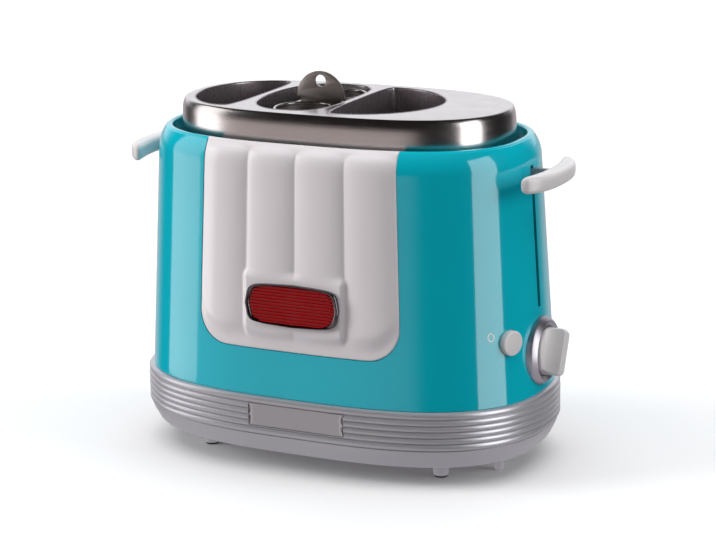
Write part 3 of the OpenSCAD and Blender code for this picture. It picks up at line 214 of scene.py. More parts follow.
def finish_named(name, colour, values, grain_mm, rough, bump_mm, stretch=(1, 1, 1), tint=0.0):
    """Material with its constants on the shader, and a grain of the given size in mm that
    moves the roughness between two values, raises the surface and tints the colour a little."""
    material = bpy.data.materials.new(name)
    material.use_nodes = True
    tree = material.node_tree
    shader = tree.nodes["Principled BSDF"]
    shader.inputs["Base Color"].default_value = linear(colour)
    for key, value in values.items():
        shader.inputs[key].default_value = value
    place = add(tree, "ShaderNodeTexCoord")
    placed = add(tree, "ShaderNodeMapping", {"Scale": stretch}, {"Vector": place.outputs["Object"]})
    grain = add(tree, "ShaderNodeTexNoise", {"Scale": 1000 / grain_mm, "Detail": 3.0, "Roughness": 0.55},
                {"Vector": placed.outputs["Vector"]})
    ramp = add(tree, "ShaderNodeMapRange", {"From Min": 0.3, "From Max": 0.7, "To Min": rough[0],
                                            "To Max": rough[1]}, {"Value": grain.outputs["Fac"]})
    tree.links.new(ramp.outputs["Result"], shader.inputs["Roughness"])
    if bump_mm:
        bump = add(tree, "ShaderNodeBump", {"Strength": 1.0, "Distance": bump_mm / 1000},
                   {"Height": grain.outputs["Fac"]})
        tree.links.new(bump.outputs["Normal"], shader.inputs["Normal"])
    if tint:
        # Cloudy patches about 45 mm across.
        patch = add(tree, "ShaderNodeTexNoise", {"Scale": 22.0, "Detail": 2.0},
                    {"Vector": place.outputs["Object"]})
        shade = add(tree, "ShaderNodeHueSaturation", {"Color": linear(colour)})
        level_of = add(tree, "ShaderNodeMapRange", {"From Min": 0.3, "From Max": 0.7, "To Min": 1 - tint,
                                                    "To Max": 1 + tint}, {"Value": patch.outputs["Fac"]})
        tree.links.new(level_of.outputs["Result"], shade.inputs["Value"])
        tree.links.new(shade.outputs["Color"], shader.inputs["Base Color"])
    return material


def dress(made, material, body, stands_for=(), crease=35):
    """Smooths a piece but for its sharp edges, paints it and fixes it to a body."""
    made.data.materials.clear()
    made.data.materials.append(material)
    made.data.shade_smooth()
    made.data.set_sharp_from_angle(angle=math.radians(crease))
    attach(made, body)
    if stands_for:
        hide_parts(*stands_for)


# Stove enamel over steel: a hard clear gloss with a faint orange peel, about 1.5 mm across.
teal_enamel = finish_named("teal_stove_enamel", "08BACD", {"Coat Weight": 0.5, "Coat Roughness": 0.04,
                           "IOR": 1.5}, 1.5, (0.08, 0.12), 0.001, tint=0.02)

panel_w, panel_taper, panel_bottom_z, panel_corner_r = 155.0, 5.0, 89.0, 23.5
slot_w, slot_low, slot_high = 4.5, 114.8, 213.8
bezel_r, knob_z = 24.0, 84.0
button_r, button_z, button_y = 8.7, 98.9, -38.2
button_clear, part_gap = 0.35, 0.2

side = np.linspace(seam_z, shoulder_z, 24)
shoulder = np.linspace(shoulder_z, lip_z - lip_drop, 26)[1:]
roll_angle = np.linspace(0, np.pi, 13)[1:-1]
lip_in = float(skin_in(lip_z))
shell_profile = np.array(
    [(-0.5, seam_z), (0, seam_z + 0.5)]
    + [(-float(skin_in(z)), z) for z in (*side[1:], *shoulder)]
    + [(-lip_in - lip_w / 2 + lip_w / 2 * math.cos(a), lip_z - lip_drop + lip_crown * math.sin(a))
       for a in roll_angle]
    + [(-lip_in - lip_w, lip_z - 1.5), (-lip_in - lip_w, moat_z),
       (-float(skin_in(shoulder_z)) - shell_wall, shoulder_z - 2), (-shell_wall, seam_z)])


def sleeve(profile, n):
    """Closed wall: a ring profile of (out, z) pairs carried round the plan curve."""
    x, y = plan_ring(profile[:, 0], n)
    z = np.repeat(profile[:, 1:], n, 1)
    return np.stack([x, y, z], -1).reshape(-1, 3), quads(len(profile), n, True, True)


def on_axis(x, y, z, turn):
    """Matrix that lays a body turned about Z along a level axis turned by an angle from +X."""
    return (Matrix.Translation((x, y, z)) @ Matrix.Rotation(turn, 4, "Z")
            @ Matrix.Rotation(math.pi / 2, 4, "Y"))


def panel_share(z):
    """Width of the panel at height z as a share of its width at its foot: a straight taper."""
    above = np.clip(z - panel_bottom_z, 0, None)
    return 1 - panel_taper / (panel_w / 2) * above / (lip_z - panel_bottom_z)


corner = np.linspace(0, np.pi / 2, 24)
corner_x = np.append(panel_w / 2 - panel_corner_r + panel_corner_r * np.sin(corner), panel_w / 2)
corner_z = np.append(panel_bottom_z + panel_corner_r - panel_corner_r * np.cos(corner), 240)
right_side = np.stack([corner_x * panel_share(corner_z), corner_z], -1)
window = np.concatenate([right_side, right_side[::-1] * (-1, 1)])
in_b = float(skin_in(button_z))
button_x = (half_l - in_b) * (1 - (abs(button_y) / (half_d - in_b)) ** plan_q) ** (1 / plan_p)
button_turn = math.atan2(
    math.copysign(1, button_y) * plan_q / (half_d - in_b)
    * (abs(button_y) / (half_d - in_b)) ** (plan_q - 1),
    plan_p / (half_l - in_b) * (button_x / (half_l - in_b)) ** (plan_p - 1))
on_button = on_axis(button_x, button_y, button_z, button_turn)
shell = joined("shell_skin", [sleeve(shell_profile, around)])
cut_near, cut_far = 118, 160
bezel_hole, button_hole = bezel_r + part_gap, button_r + button_clear
carve(shell, [
    prism(window, -cut_far, -50, axis=1),
    box_of((cut_near, -slot_w / 2, slot_low), (cut_far, slot_w / 2, slot_high)),
    box_of((-cut_far, -slot_w / 2, slot_low), (-cut_near, slot_w / 2, slot_high)),
    moved(turned([(0, cut_near), (bezel_hole, cut_near), (bezel_hole, cut_far), (0, cut_far)]),
          on_axis(0, 0, knob_z, 0)),
    moved(turned([(0, -12), (button_hole, -12), (button_hole, 8), (0, 8)], 64), on_button)])
dress(shell, teal_enamel, "housing", ["shell"], 30)


# ---- Off mark ----
# A small ring printed in white ink on the enamel beside the cancel button. It lies on the
# skin as a film a tenth of a millimetre thick.
mark_y, mark_z, mark_h, mark_w, mark_line = -51.3, 105.0, 6.2, 4.9, 0.85
mark_squeeze = 0.86  # its width runs partly along X, because the skin turns away there
# Screen ink: matt, with a grain of 0.6 mm, coarser than real so that it shows.
white_ink = finish_named("white_screen_ink", "E8F0F0", {}, 0.6, (0.35, 0.45), 0.0)


def on_skin(along, z, lift):
    """Points on the right-hand part of the skin: y and z are given, and x follows from the
    plan curve, grown by a small lift."""
    inset = skin_in(z)
    a, b = half_l - inset + lift, half_d - inset + lift
    return np.stack([a * (1 - np.clip(abs(along) / b, 0, 1) ** plan_q) ** (1 / plan_p), along, z], -1)


mark_t = np.arange(48) * 2 * np.pi / 48
mark_rings = [(0, 0.02), (0, 0.12), (mark_line, 0.12), (mark_line, 0.02)]
mark_points = np.concatenate([
    on_skin(mark_y + (mark_w / 2 - inset) * mark_squeeze * np.cos(mark_t),
            mark_z + (mark_h / 2 - inset) * np.sin(mark_t), lift)
    for inset, lift in mark_rings])
off_mark = mesh_of("off_mark", mark_points, quads(4, 48, True, True))
dress(off_mark, white_ink, "housing")


# ---- Front panel ----
# One injection-moulded ABS panel in gloss white, set flush in the shell's window. Four upright
# flutes end in a flat field that carries the badge, and the panel's top makes the front of the lip.
flute_count, flute_rise, panel_wall = 4, 3.0, 2.4
badge_w, badge_h, badge_z = 71.5, 29.5, 123.0
panel_half = panel_w / 2 - part_gap
panel_edge_r = 1.3
flute_fade_low, flute_fade = 7.6, 6.4
foot_fade_low, foot_fade = 5, 14
# Moulded ABS: clean gloss, with a sink texture about 4 mm across that only the reflections show.
white_abs = finish_named("white_moulded_abs", "E8E3E6", {"IOR": 1.53, "Coat Weight": 0.25,
                         "Coat Roughness": 0.08}, 4.0, (0.20, 0.27), 0.004, tint=0.012)


def ease(t):
    """Smooth step from 0 to 1: 3t^2 - 2t^3."""
    t = np.clip(t, 0, 1)
    return t * t * (3 - 2 * t)


def panel_foot(x):
    """Lowest height of the panel at x: flat, with a quarter circle at each lower corner."""
    over = np.clip(abs(x) - (panel_half - panel_corner_r), 0, panel_corner_r)
    return panel_bottom_z + part_gap + panel_corner_r - np.sqrt(panel_corner_r ** 2 - over ** 2)


def flute(x, z):
    """How far the flutes stand out: one less a power of the distance from the flute's middle
    and of the distance into the top fade, so that each flute ends in rounded corners."""
    u = abs(((x + panel_half) / (2 * panel_half) * flute_count) % 1 - 0.5) * 2
    top = np.clip((z - (lip_z - flute_fade_low)) / flute_fade, 0, 1)
    low = ease((z - panel_foot(x) - foot_fade_low) / foot_fade)
    return flute_rise * np.clip(1 - u ** 2.2 - top ** 2.6, 0, None) * low


def badge_field(x, z):
    """1 on the flat field round the badge, easing to 0 over 5.2 mm beside it, 6 mm above it and
    10 mm below it, with the two distances added as a right angle's sides at the corners."""
    dx = np.clip((abs(x) - badge_w / 2 + 0.35) / 5.2, 0, None)
    above, below = (z - badge_z - badge_h / 2 - 2.5) / 6, (badge_z - badge_h / 2 - 1 - z) / 10
    return ease(1 - np.hypot(dx, np.clip(np.maximum(above, below), 0, None)))


def rounded_in(x, z, r):
    """Drop of the moulded edge: a quarter circle of radius r within r of the panel's outline,
    measured by the distance to a rectangle with rounded lower corners."""
    k = panel_corner_r
    qx = abs(x) - (panel_half - k)
    qz = panel_bottom_z + part_gap + k - z
    d = k - np.where((qx > 0) & (qz > 0), np.hypot(qx, qz), np.maximum(qx, qz))
    e = np.clip(1 - d / r, 0, 1)
    return r * (1 - np.sqrt(1 - e ** 2 * 0.98))


def panel_back_in(z):
    """How far the panel's back lies in: one wall below the shoulder, the lip's width above the moat."""
    low_z = shoulder_z - 2
    low_in = float(skin_in(low_z)) + panel_wall
    top_in = lip_in + lip_w
    return np.where(z >= moat_z, top_in, np.where(z <= low_z, skin_in(z) + panel_wall,
                    low_in + (top_in - low_in) * (z - low_z) / (moat_z - low_z)))


cols = 240
edge_run = np.array([0, 0.1, 0.3, 0.6, 1.0, 1.4])
span = np.linspace(1.9, 2 * panel_half - 1.9, cols - 11)
xs = np.concatenate([edge_run, span, 2 * panel_half - edge_run[::-1]])[:cols] - panel_half
xs[-1] = panel_half
foot = panel_foot(xs)
front_z = foot + np.concatenate([edge_run[:, None] + 0 * foot,
                                 1.9 + (lip_z - lip_drop - foot - 1.9) * np.linspace(0, 1, 110)[:, None]])
flat_y = -(half_d - lean * (front_z - seam_z)) - flute_rise
across_x = xs * panel_share(front_z)
front_in = skin_in(front_z)
plain_y = -curve_y(half_l - front_in, half_d - front_in, across_x) - flute(xs, front_z)
field = badge_field(across_x, front_z)
front_y = plain_y * (1 - field) + flat_y * field + rounded_in(xs, front_z, panel_edge_r)
rim_a = roll_angle[:, None]
rim_out = -lip_in - lip_w / 2 + lip_w / 2 * np.cos(rim_a) + 0 * xs
rim_z = lip_z - lip_drop + lip_crown * np.sin(rim_a) + 0 * xs
back_z = np.array([lip_z - 1.5, moat_z, shoulder_z - 2])[:, None] + 0 * xs
back_z = np.concatenate([back_z, (foot + (shoulder_z - 2 - foot) * np.linspace(0.75, 0, 4)[:, None])])
rim_y = -curve_y(half_l + rim_out, half_d + rim_out, xs * panel_share(rim_z))
back_in = panel_back_in(back_z)
back_y = -curve_y(half_l - back_in, half_d - back_in, xs * panel_share(back_z))
loop_z = np.concatenate([front_z, rim_z, back_z])
loop_y = np.concatenate([front_y, rim_y, back_y])
loop = np.stack([xs * panel_share(loop_z), loop_y, loop_z], -1)
rows = len(loop_z)
panel_faces = quads(rows, len(xs), wrap_rows=True)
panel_faces += [[r * len(xs) for r in range(rows)], [r * len(xs) + len(xs) - 1 for r in range(rows)]]
panel = mesh_of("fluted_panel", loop, panel_faces)
dress(panel, white_abs, "housing", ["front_panel"], 50)


# ---- Badge ----
# A barrel-shaped badge on the panel's flat field: a die-cast rim plated in dark chrome round an
# insert moulded in red, ribbed from end to end.
tilt = math.atan(lean)
end_bulge, edge_bulge, barrel_power, badge_n = 4, 2.1, 0.15, 160
on_badge = (Matrix.Translation((0, -(half_d - lean * (badge_z - seam_z)) - flute_rise - 0.05, badge_z))
            @ Matrix.Rotation(math.pi / 2 - tilt, 4, "X"))
# Dark chrome plating: a smoked mirror, wavy with the casting under it, about 2 mm across.
dark_chrome = finish_named("dark_chrome_plate", "6C676B", {"Metallic": 1.0}, 2.0, (0.12, 0.2), 0.002)
# Moulded acrylic: deep clear red, with slow flow marks about 3 mm across.
red_acrylic = finish_named("red_moulded_acrylic", "A5080F", {"IOR": 1.47, "Coat Weight": 0.15,
                           "Coat Roughness": 0.05}, 3.0, (0.16, 0.24), 0.002, tint=0.04)


def barrel(inset_x, inset_y):
    """Barrel outline: a squircle whose ends bulge by 4 mm and long edges by 2.1 mm."""
    t = np.arange(badge_n) * 2 * np.pi / badge_n
    c, s = np.cos(t), np.sin(t)
    u, v = np.sign(c) * abs(c) ** barrel_power, np.sign(s) * abs(s) ** barrel_power
    return (u * (badge_w / 2 - inset_x - end_bulge * v * v),
            v * (badge_h / 2 - inset_y - edge_bulge * u * u))


rim_profile = [(0, 0), (0, 1.9), (0.12, 2.4), (0.4, 2.8), (0.8, 3.0), (1.4, 2.95), (2.0, 2.6), (2.5, 1.9),
               (2.8, 1.1), (2.8, 0)]
rings = [np.stack([*barrel(i * 1.12, i * 0.52), np.full(badge_n, h)], -1) for i, h in rim_profile]
badge_rim = mesh_of("badge_rim", moved((np.concatenate(rings), []), on_badge)[0],
                    quads(len(rings), badge_n, True, True))
dress(badge_rim, dark_chrome, "housing", ["badge_frame"])

insert_cols, insert_rows = 181, 221
u = np.linspace(-1, 1, insert_cols)[None, :]
v = np.linspace(-1, 1, insert_rows)[:, None]
insert_w, insert_h, rib_pitch, rib_end = badge_w / 2 - 2.6, badge_h / 2 - 1.2, 2.218, 1.6
ix = u * (insert_w - end_bulge * v * v)
iy = v * (insert_h - edge_bulge * u * u)
# Ribs: a clipped cosine of the height, faded out just short of the curved ends.
ribbed = ease((insert_w - end_bulge * v * v - rib_end - abs(ix)) / 0.7)
iz = 1.15 + 0.75 * ribbed * np.clip(-np.cos(iy / rib_pitch * 2 * np.pi) * 1.25, -0.6, 1) + 0.35 * ribbed
iz = np.where((abs(u) > 0.999) | (abs(v) > 0.999), 0.4, iz)
top = np.stack([ix, iy, iz], -1)
under = top * (1, 1, 0) + (0, 0, 0.1)
n_top = top.shape[0] * top.shape[1]
last_col, last_row = insert_cols - 1, insert_rows - 1
edge_loop = (list(range(insert_cols)) + [r * insert_cols + last_col for r in range(1, insert_rows)]
             + [last_row * insert_cols + c for c in range(last_col - 1, -1, -1)]
             + [r * insert_cols for r in range(last_row - 1, 0, -1)])
insert_faces = quads(insert_rows, insert_cols) + quads(insert_rows, insert_cols, start=n_top)
insert_faces += [[a, b, b + n_top, a + n_top] for a, b in zip(edge_loop, edge_loop[1:] + edge_loop[:1])]
insert_points = np.concatenate([top.reshape(-1, 3), under.reshape(-1, 3)])
insert = mesh_of("badge_insert_ribbed", moved((insert_points, []), on_badge)[0], insert_faces)
dress(insert, red_acrylic, "housing", ["badge_insert"], 60)


# ---- Top plate ----
# One pressed stainless plate, polished: a flat crowned top with three wells whose lips are rolled,
# and an upright skirt. Reflections run along it, with a trace of the polishing wheel.
plate_a, plate_b, plate_z = 118.78, 61.1, 250.0
# Polished stainless: a soft mirror, drawn out by the wheel. The grain is 0.9 mm across, coarser
# than real so that it shows.
polished_steel = finish_named("polished_stainless", "D2CCCB", {"Metallic": 1.0}, 0.9, (0.21, 0.27), 0.001,
                              stretch=(0.08, 0.08, 1.0), tint=0.02)


def through(points, per=6):
    """Smooth path through points: Catmull-Rom pieces of `per` steps, ends kept."""
    p = np.asarray(points, float)
    p = np.concatenate([[2 * p[0] - p[1]], p, [2 * p[-1] - p[-2]]])
    t = (np.arange(per) / per)[:, None]
    a, b, c, d = p[:-3, None], p[1:-2, None], p[2:-1, None], p[3:, None]
    path = 0.5 * (2 * b + (c - a) * t + (2 * a - 5 * b + 4 * c - d) * t ** 2
                  + (3 * b - a - 3 * c + d) * t ** 3)
    return np.concatenate([path.reshape(-1, 2), p[-2:-1]])


skirt = through([(3.5, moat_z), (3.4, 231), (3.2, 240), (2.8, 244.5), (2.2, 247), (1.5, 248.7), (0.9, 249.6),
                 (0.2, 250.0), (-0.6, 250.06), (-2.2, 250.14), (-5, 250.28), (-9, 250.4), (-14, 250.5)])
plate_top = skirt[np.argmax(skirt[:, 0] <= 0.2):]


def plate_height(x, y):
    """Height of the plate's top at (x, y): the inset o that puts the point on the plan curve
    grown by o is found by halving, and the crown's path is read at that inset."""
    low, high = np.full(np.shape(x), -55.0), np.full(np.shape(x), 3.0)
    for _ in range(40):
        mid = (low + high) / 2
        inside = (abs(x) / (plate_a + mid)) ** plan_p + (abs(y) / (plate_b + mid)) ** plan_q < 1
        low, high = np.where(inside, low, mid), np.where(inside, mid, high)
    return np.interp(-low, -plate_top[:, 0], plate_top[:, 1])


well_n = 192


def well_ring(x0, left, right, half, nl, nr, grow):
    """Outline of a well: a superellipse whose two halves have their own width and
    squareness, grown by a margin."""
    t = np.arange(well_n) * 2 * np.pi / well_n
    c, s = np.cos(t), np.sin(t)
    c, s = np.where(abs(c) < 1e-9, 0, c), np.where(abs(s) < 1e-9, 0, s)
    e = np.where(c < 0, nl, nr)
    w = np.where(c < 0, left, right) + grow
    return x0 + w * np.sign(c) * abs(c) ** (2 / e), (half + grow) * np.sign(s) * abs(s) ** (2 / e)


# Middle line, reach to the left and right, half depth, and the squareness of the two halves.
wells = {"left": (-76, 36.98, 11, 49, 1.8, 4),
         "middle": (-28, 31.2, 31.2, 51.5, 2.2, 3.6),
         "right": (18, 9.5, 53.5, 51.5, 4, 1.9)}
ring_x, ring_y = plan_ring(skirt[:, 0] + plate_a - half_l, around)
ring_y *= (plate_b + skirt[:, :1]) / (half_d + skirt[:, :1] + plate_a - half_l)
plate_points = np.stack([ring_x, ring_y, np.repeat(skirt[:, 1:], around, 1)], -1).reshape(-1, 3)
plate_faces = quads(len(skirt), around, wrap_cols=True)
plate_faces += [list(range(around)), list(range(len(plate_points) - around, len(plate_points)))]
plate = mesh_of("pressed_plate", plate_points, plate_faces)
lip_grow, lip_under, wall_step = 1.6, 1.4, 236.0
carve(plate, [prism(np.stack(well_ring(*w, lip_grow), -1), moat_z - 5, plate_z + 10)
              for w in wells.values()])
lip_path = through([(lip_grow, 0), (1.35, 0.05), (1.0, 0.24), (0.65, 0.26), (0.35, 0.05), (0.1, -0.5),
                    (0, -lip_under)], 4)
lip_parts = []
for w in wells.values():
    grows = np.concatenate([lip_path[:, 0], [0.0, 0.0, 1.0, 1.0, 1.2]])
    xy = [well_ring(*w, g) for g in grows]
    tops = [plate_height(x, y) for x, y in xy[:len(lip_path)]]
    heights = [t + d for t, d in zip(tops, lip_path[:, 1])]
    heights += [np.full(well_n, h) for h in (wall_step, moat_z - 3, moat_z - 3, wall_step)]
    heights += [tops[0] - lip_under]
    points = np.concatenate([np.stack([x, y, h], -1) for (x, y), h in zip(xy, heights)])
    lip_parts.append((points, quads(len(grows), well_n, True, True)))
lips = joined("rolled_lips", lip_parts)
dress(plate, polished_steel, "housing", ["top_plate", "plate_skirt"], 40)
# Drawn stainless: the wells' walls aren't polished, and keep a dull grey skin drawn out downwards.
drawn_steel = finish_named("drawn_stainless", "B6AEB2", {"Metallic": 0.88}, 0.9, (0.22, 0.28), 0.0004,
                           stretch=(1.0, 1.0, 0.1), tint=0.03)
dress(lips, drawn_steel, "housing",
      ["left_well_liner", "basket_well_liner", "right_well_liner"], 60)


# ---- Base ring ----
# The foot of the body: one ABS moulding painted silver, with an upper bead, four ribs, a lower bead
# and a smooth band that tucks under. A pocket in front takes the nameplate.
rib_out, rib_deep, rib_low, rib_high = 3.7, 1.4, 34.0, 51.0
base_z, band_z = 14.6, 29.3
# Metallic paint on ABS: a fine sparkle under a thin clear coat. The flakes are drawn 0.5 mm
# across, coarser than real so that they show.
silver_paint = finish_named("silver_metallic_paint", "C4C3C9", {"Metallic": 0.55, "Coat Weight": 0.15,
                            "Coat Roughness": 0.2}, 0.5, (0.30, 0.42), 0.004, tint=0.02)


def bead(z0, z1, out, low, n=12):
    """Rounded rib between two grooves: low + (out - low) times a power of the sine."""
    t = np.linspace(0, 1, n + 1)[1:]
    return np.stack([low + (out - low) * np.sin(np.pi * t).clip(0) ** 0.55, z0 + (z1 - z0) * t], -1)


rib_z = np.linspace(rib_low, rib_high, 5)
base_profile = np.concatenate(
    [through([(-8, base_z), (-4.6, base_z + 0.6), (-2.4, base_z + 2.8), (-0.6, base_z + 6.4),
              (1.2, base_z + 10), (2.2, band_z - 1.8), (2.5, band_z - 0.6)], 5), [(1.9, band_z)],
     bead(band_z, rib_low, rib_out, rib_out - rib_deep)]
    + [bead(a, b, rib_out, rib_out - rib_deep) for a, b in zip(rib_z, rib_z[1:])]
    + [bead(rib_high, seam_z, rib_out - 0.2, 1.8),
       [(-3.5, seam_z), (-3.5, seam_z - 3), (-0.4, seam_z - 6), (-0.4, band_z), (-3.6, base_z + 8),
        (-6.4, base_z + 3.1), (-8, base_z + 2.5)]])
base = joined("ribbed_base", [sleeve(base_profile, around)])
name_mid, name_w, name_low, name_high = 2.0, 73.0, 35.2, 51.4
tray_mid, tray_w, tray_low, tray_high = -11.5, 140.0, 17.0, 27.4
entry_x, entry_z, entry_out = 100.0, 40.0, rib_out
gland_seat_r, gland_hole_r = 9.4, 6.4
entry_y = float(curve_y(half_l + entry_out, half_d + entry_out, entry_x))
entry_turn = math.atan2(plan_q / (half_d + entry_out) * (entry_y / (half_d + entry_out)) ** (plan_q - 1),
                        plan_p / (half_l + entry_out) * (entry_x / (half_l + entry_out)) ** (plan_p - 1))
on_entry = on_axis(entry_x, entry_y, entry_z, entry_turn)
carve(base, [
    box_of((name_mid - name_w / 2 - 0.2, -100, name_low),
           (name_mid + name_w / 2 + 0.2, -half_d - 1.6, name_high)),
    box_of((tray_mid - tray_w / 2 - 1, 45, tray_low), (tray_mid + tray_w / 2 + 1, 110, tray_high)),
    moved(turned([(0, -1.7), (gland_seat_r, -1.7), (gland_seat_r, 10), (0, 10)], 64), on_entry)])
carve(base, [moved(turned([(0, -20), (gland_hole_r, -20), (gland_hole_r, 10), (0, 10)], 64), on_entry)])
dress(base, silver_paint, "housing", ["base_ring"], 40)


# ---- Nameplate ----
# A thin etched aluminium plate glued into the pocket in the ribs, with hollowed ends. Along each end
# lies a fine near-white strip, a painted highlight that stands for the glint of light there.
name_y, name_t = -half_d - rib_out + 2.0, 1.2
# Etched aluminium: an even satin grey with pits 0.35 mm across, coarser than real.
etched_aluminium = finish_named("etched_aluminium", "C4C2C6", {"Metallic": 0.7}, 0.35, (0.38, 0.55), 0.012)
# Painted highlight: near-white aluminium with a white diffuse part, so the strips show a thin glint under any
# light.
painted_glint = finish_named("painted_glint_aluminium_edge", "F2F2F2", {"Metallic": 0.6}, 1.0, (0.2, 0.3), 0.0)
name_h = (name_high - 0.2) - (name_low + 0.2)
name_cz = (name_high + name_low) / 2
hollow_t = np.linspace(-1, 1, 25)


def name_end(inset):
    """Right-hand end of the plate: a curly bracket, hollow to each side of a point at mid height."""
    z = hollow_t * (name_h / 2 - inset)
    x = name_w / 2 - inset - 1.9 * np.sin(np.pi * abs(hollow_t) ** 0.8) ** 0.9 * 0.8
    return x, name_cz + z


def name_outline(inset):
    """Whole outline, counter-clockwise: right end upwards, left end downwards."""
    x, z = name_end(inset)
    return np.concatenate([np.stack([name_mid + x, z], -1), np.stack([name_mid - x, z], -1)[::-1]])


plate_loops = [(0, name_y - 0.05), (0, name_y - name_t + 0.3), (0.3, name_y - name_t)]
name_rings = [np.insert(name_outline(i), 1, y, axis=1) for i, y in plate_loops]
n_name = len(name_rings[0])
name_faces = quads(3, n_name, wrap_cols=True)
name_faces += [list(range(n_name)), list(range(2 * n_name, 3 * n_name))]
nameplate = mesh_of("etched_nameplate", np.concatenate(name_rings), name_faces)
dress(nameplate, etched_aluminium, "housing", ["nameplate"], 40)
# Each strip along a hollowed end is a painted highlight.
glint_line_parts = []
for mirror in (1, -1):
    x, z = name_end(1.1)
    loops = [(0, -name_t + 0.05), (0, -name_t - 0.08), (0.5, -name_t - 0.08), (0.5, -name_t + 0.05)]
    pts = np.concatenate([np.stack([name_mid + mirror * (x - i), np.full(len(x), name_y + h), z], -1)
                          for i, h in loops])
    glint_line_parts.append((pts, quads(4, len(x), wrap_rows=True) + [[0, 25, 50, 75], [24, 49, 74, 99]]))
line = joined("nameplate_painted_glint_lines", glint_line_parts)
dress(line, painted_glint, "housing")


# ---- Feet and pegs ----
# Four tapered feet moulded with the silver base, each with one gusset and a black rubber pad, and
# four slimmer pegs for wrapping the lead.
foot_x, foot_y, foot_r, pad_h = 90.6, 47.2, 5.2, 1.5
peg_x, peg_y = 122.8, 20.0
# Moulded rubber: matt black with a fine tooth.
rubber = finish_named("black_rubber", "2B2B2D", {}, 0.8, (0.6, 0.75), 0.02)
foot_part = turned([(0, pad_h), (foot_r - 0.3, pad_h), (foot_r, pad_h + 0.4), (foot_r + 1.1, base_z),
                    (0, base_z)], 64)
pad = turned([(0, 0), (foot_r - 1.0, 0), (foot_r - 0.6, 0.3), (foot_r - 0.6, pad_h), (0, pad_h)], 64)
peg = turned([(0, 0.5), (2.6, 0.5), (3.0, 0.9), (4.5, base_z), (0, base_z)], 48)
gusset = prism([(foot_r - 1, 6), (foot_r + 6, base_z), (foot_r - 1, base_z)], -1.5, 1.5, axis=1)
four = [(sx, sy) for sx in (-1, 1) for sy in (-1, 1)]


def placed(part, sx, sy, x, y):
    """A part carried to one corner, its gusset pointing outwards."""
    points, faces = part
    return points * (sx, sy, 1) + (sx * x, sy * y, 0), faces


feet = joined("tapered_feet", [placed(p, sx, sy, foot_x, foot_y)
                               for sx, sy in four for p in (foot_part, gusset)])
dress(feet, silver_paint, "housing", ["feet"], 40)
pads = joined("rubber_pads", [placed(pad, sx, sy, foot_x, foot_y) for sx, sy in four])
dress(pads, rubber, "housing", ["foot_pads"], 40)
pegs = joined("lead_pegs", [placed(peg, sx, sy, peg_x, peg_y) for sx, sy in four])
dress(pegs, silver_paint, "housing", ["cord_pegs"], 40)


# ---- Push bars ----
# A bar at each end pushes the buns and sausages down together. Each is one white moulding with soft
# edges, bent a little towards the body at its ends, on a steel stem that runs in the slot.
bar_z, bar_h, bar_len, bar_t, bar_bow = 208.0, 11.6, 80.0, 13.0, 9.0
bar_face = half_l - float(skin_in(bar_z)) + 12.0
bar_mid = bar_face + bar_t / 2
bar_n, bar_levels = 160, 25
# Moulded nylon: a soft white gloss, a little duller than the panel's.
white_nylon = finish_named("white_moulded_nylon", "DFDCDD", {"IOR": 1.52, "Coat Weight": 0.1}, 1.2,
                           (0.26, 0.34), 0.004, tint=0.01)


def bar_ring(inset, z):
    """Plan outline of a bar: a long superellipse bent back by a power of the distance from its middle."""
    t = np.arange(bar_n) * 2 * np.pi / bar_n
    c, s = np.cos(t), np.sin(t)
    y = (bar_len / 2 - inset) * np.sign(s) * abs(s) ** 0.55
    off = (bar_t / 2 - inset) * np.sign(c) * abs(c) ** 0.8
    return np.stack([bar_mid - bar_bow * (abs(y) / (bar_len / 2)) ** 2.6 + off, y, np.full(bar_n, z)], -1)


round_v = np.sin(np.linspace(-np.pi / 2, np.pi / 2, bar_levels))
bar_rings = [bar_ring(4.2 * (1 - (1 - abs(v) ** 3.2) ** (1 / 2.0)), bar_z + v * bar_h / 2) for v in round_v]
bar_points = np.concatenate(bar_rings)
bar_faces = quads(bar_levels, bar_n, wrap_cols=True)
bar_faces += [list(range(bar_n)), list(range((bar_levels - 1) * bar_n, bar_levels * bar_n))]
for mirror, name, node in ((1, "push_bar_moulding_right", "push_bar_right"),
                           (-1, "push_bar_moulding_left", "push_bar_left")):
    bar = mesh_of(name, bar_points * (mirror, 1, 1), bar_faces)
    dress(bar, white_nylon, "carriage", [node], 50)


# ---- Timer knob ----
# A satin-plated bezel ring stands on the shell round the knob. The knob is one white moulding: a
# round skirt sunk in the bezel and a bar grip across it with scooped sides.
bezel_face, bezel_rim, skirt_r = 149.0, 151.6, 16.5
grip_t, grip_out, grip_turn, scoop_r = 11.0, 11.5, math.radians(24), 22.0
# Satin nickel: turned, so that fine rings blur the light. The grain is 0.6 mm, coarser than real.
satin_plate = finish_named("satin_nickel_plate", "B7B3BC", {"Metallic": 1.0}, 0.6, (0.36, 0.46), 0.003,
                           stretch=(0.25, 1, 1))
on_knob = on_axis(0, 0, knob_z, 0)
shaft_hole = 3.4
bezel_path = [(shaft_hole, bezel_face - 4), (bezel_r - 2.4, bezel_face - 4), (bezel_r - 2.4, half_l - 8.5),
              (bezel_r, half_l - 8.5)]
bezel_path += through([
    (bezel_r, bezel_face - 2.5), (bezel_r - 0.15, bezel_face - 1.2), (bezel_r - 0.8, bezel_face),
    (bezel_r - 2.8, bezel_rim - 0.3), (bezel_r - 3.6, bezel_rim), (bezel_r - 4.4, bezel_rim - 0.6),
    (skirt_r + 1.2, bezel_face + 0.6), (skirt_r + 1.2, bezel_face)], 5).tolist()
bezel_path += [(shaft_hole, bezel_face)]
bezel = joined("plated_bezel", [moved(turned(bezel_path, 128), on_knob)])
dress(bezel, satin_plate, "housing", ["knob_bezel"], 30)

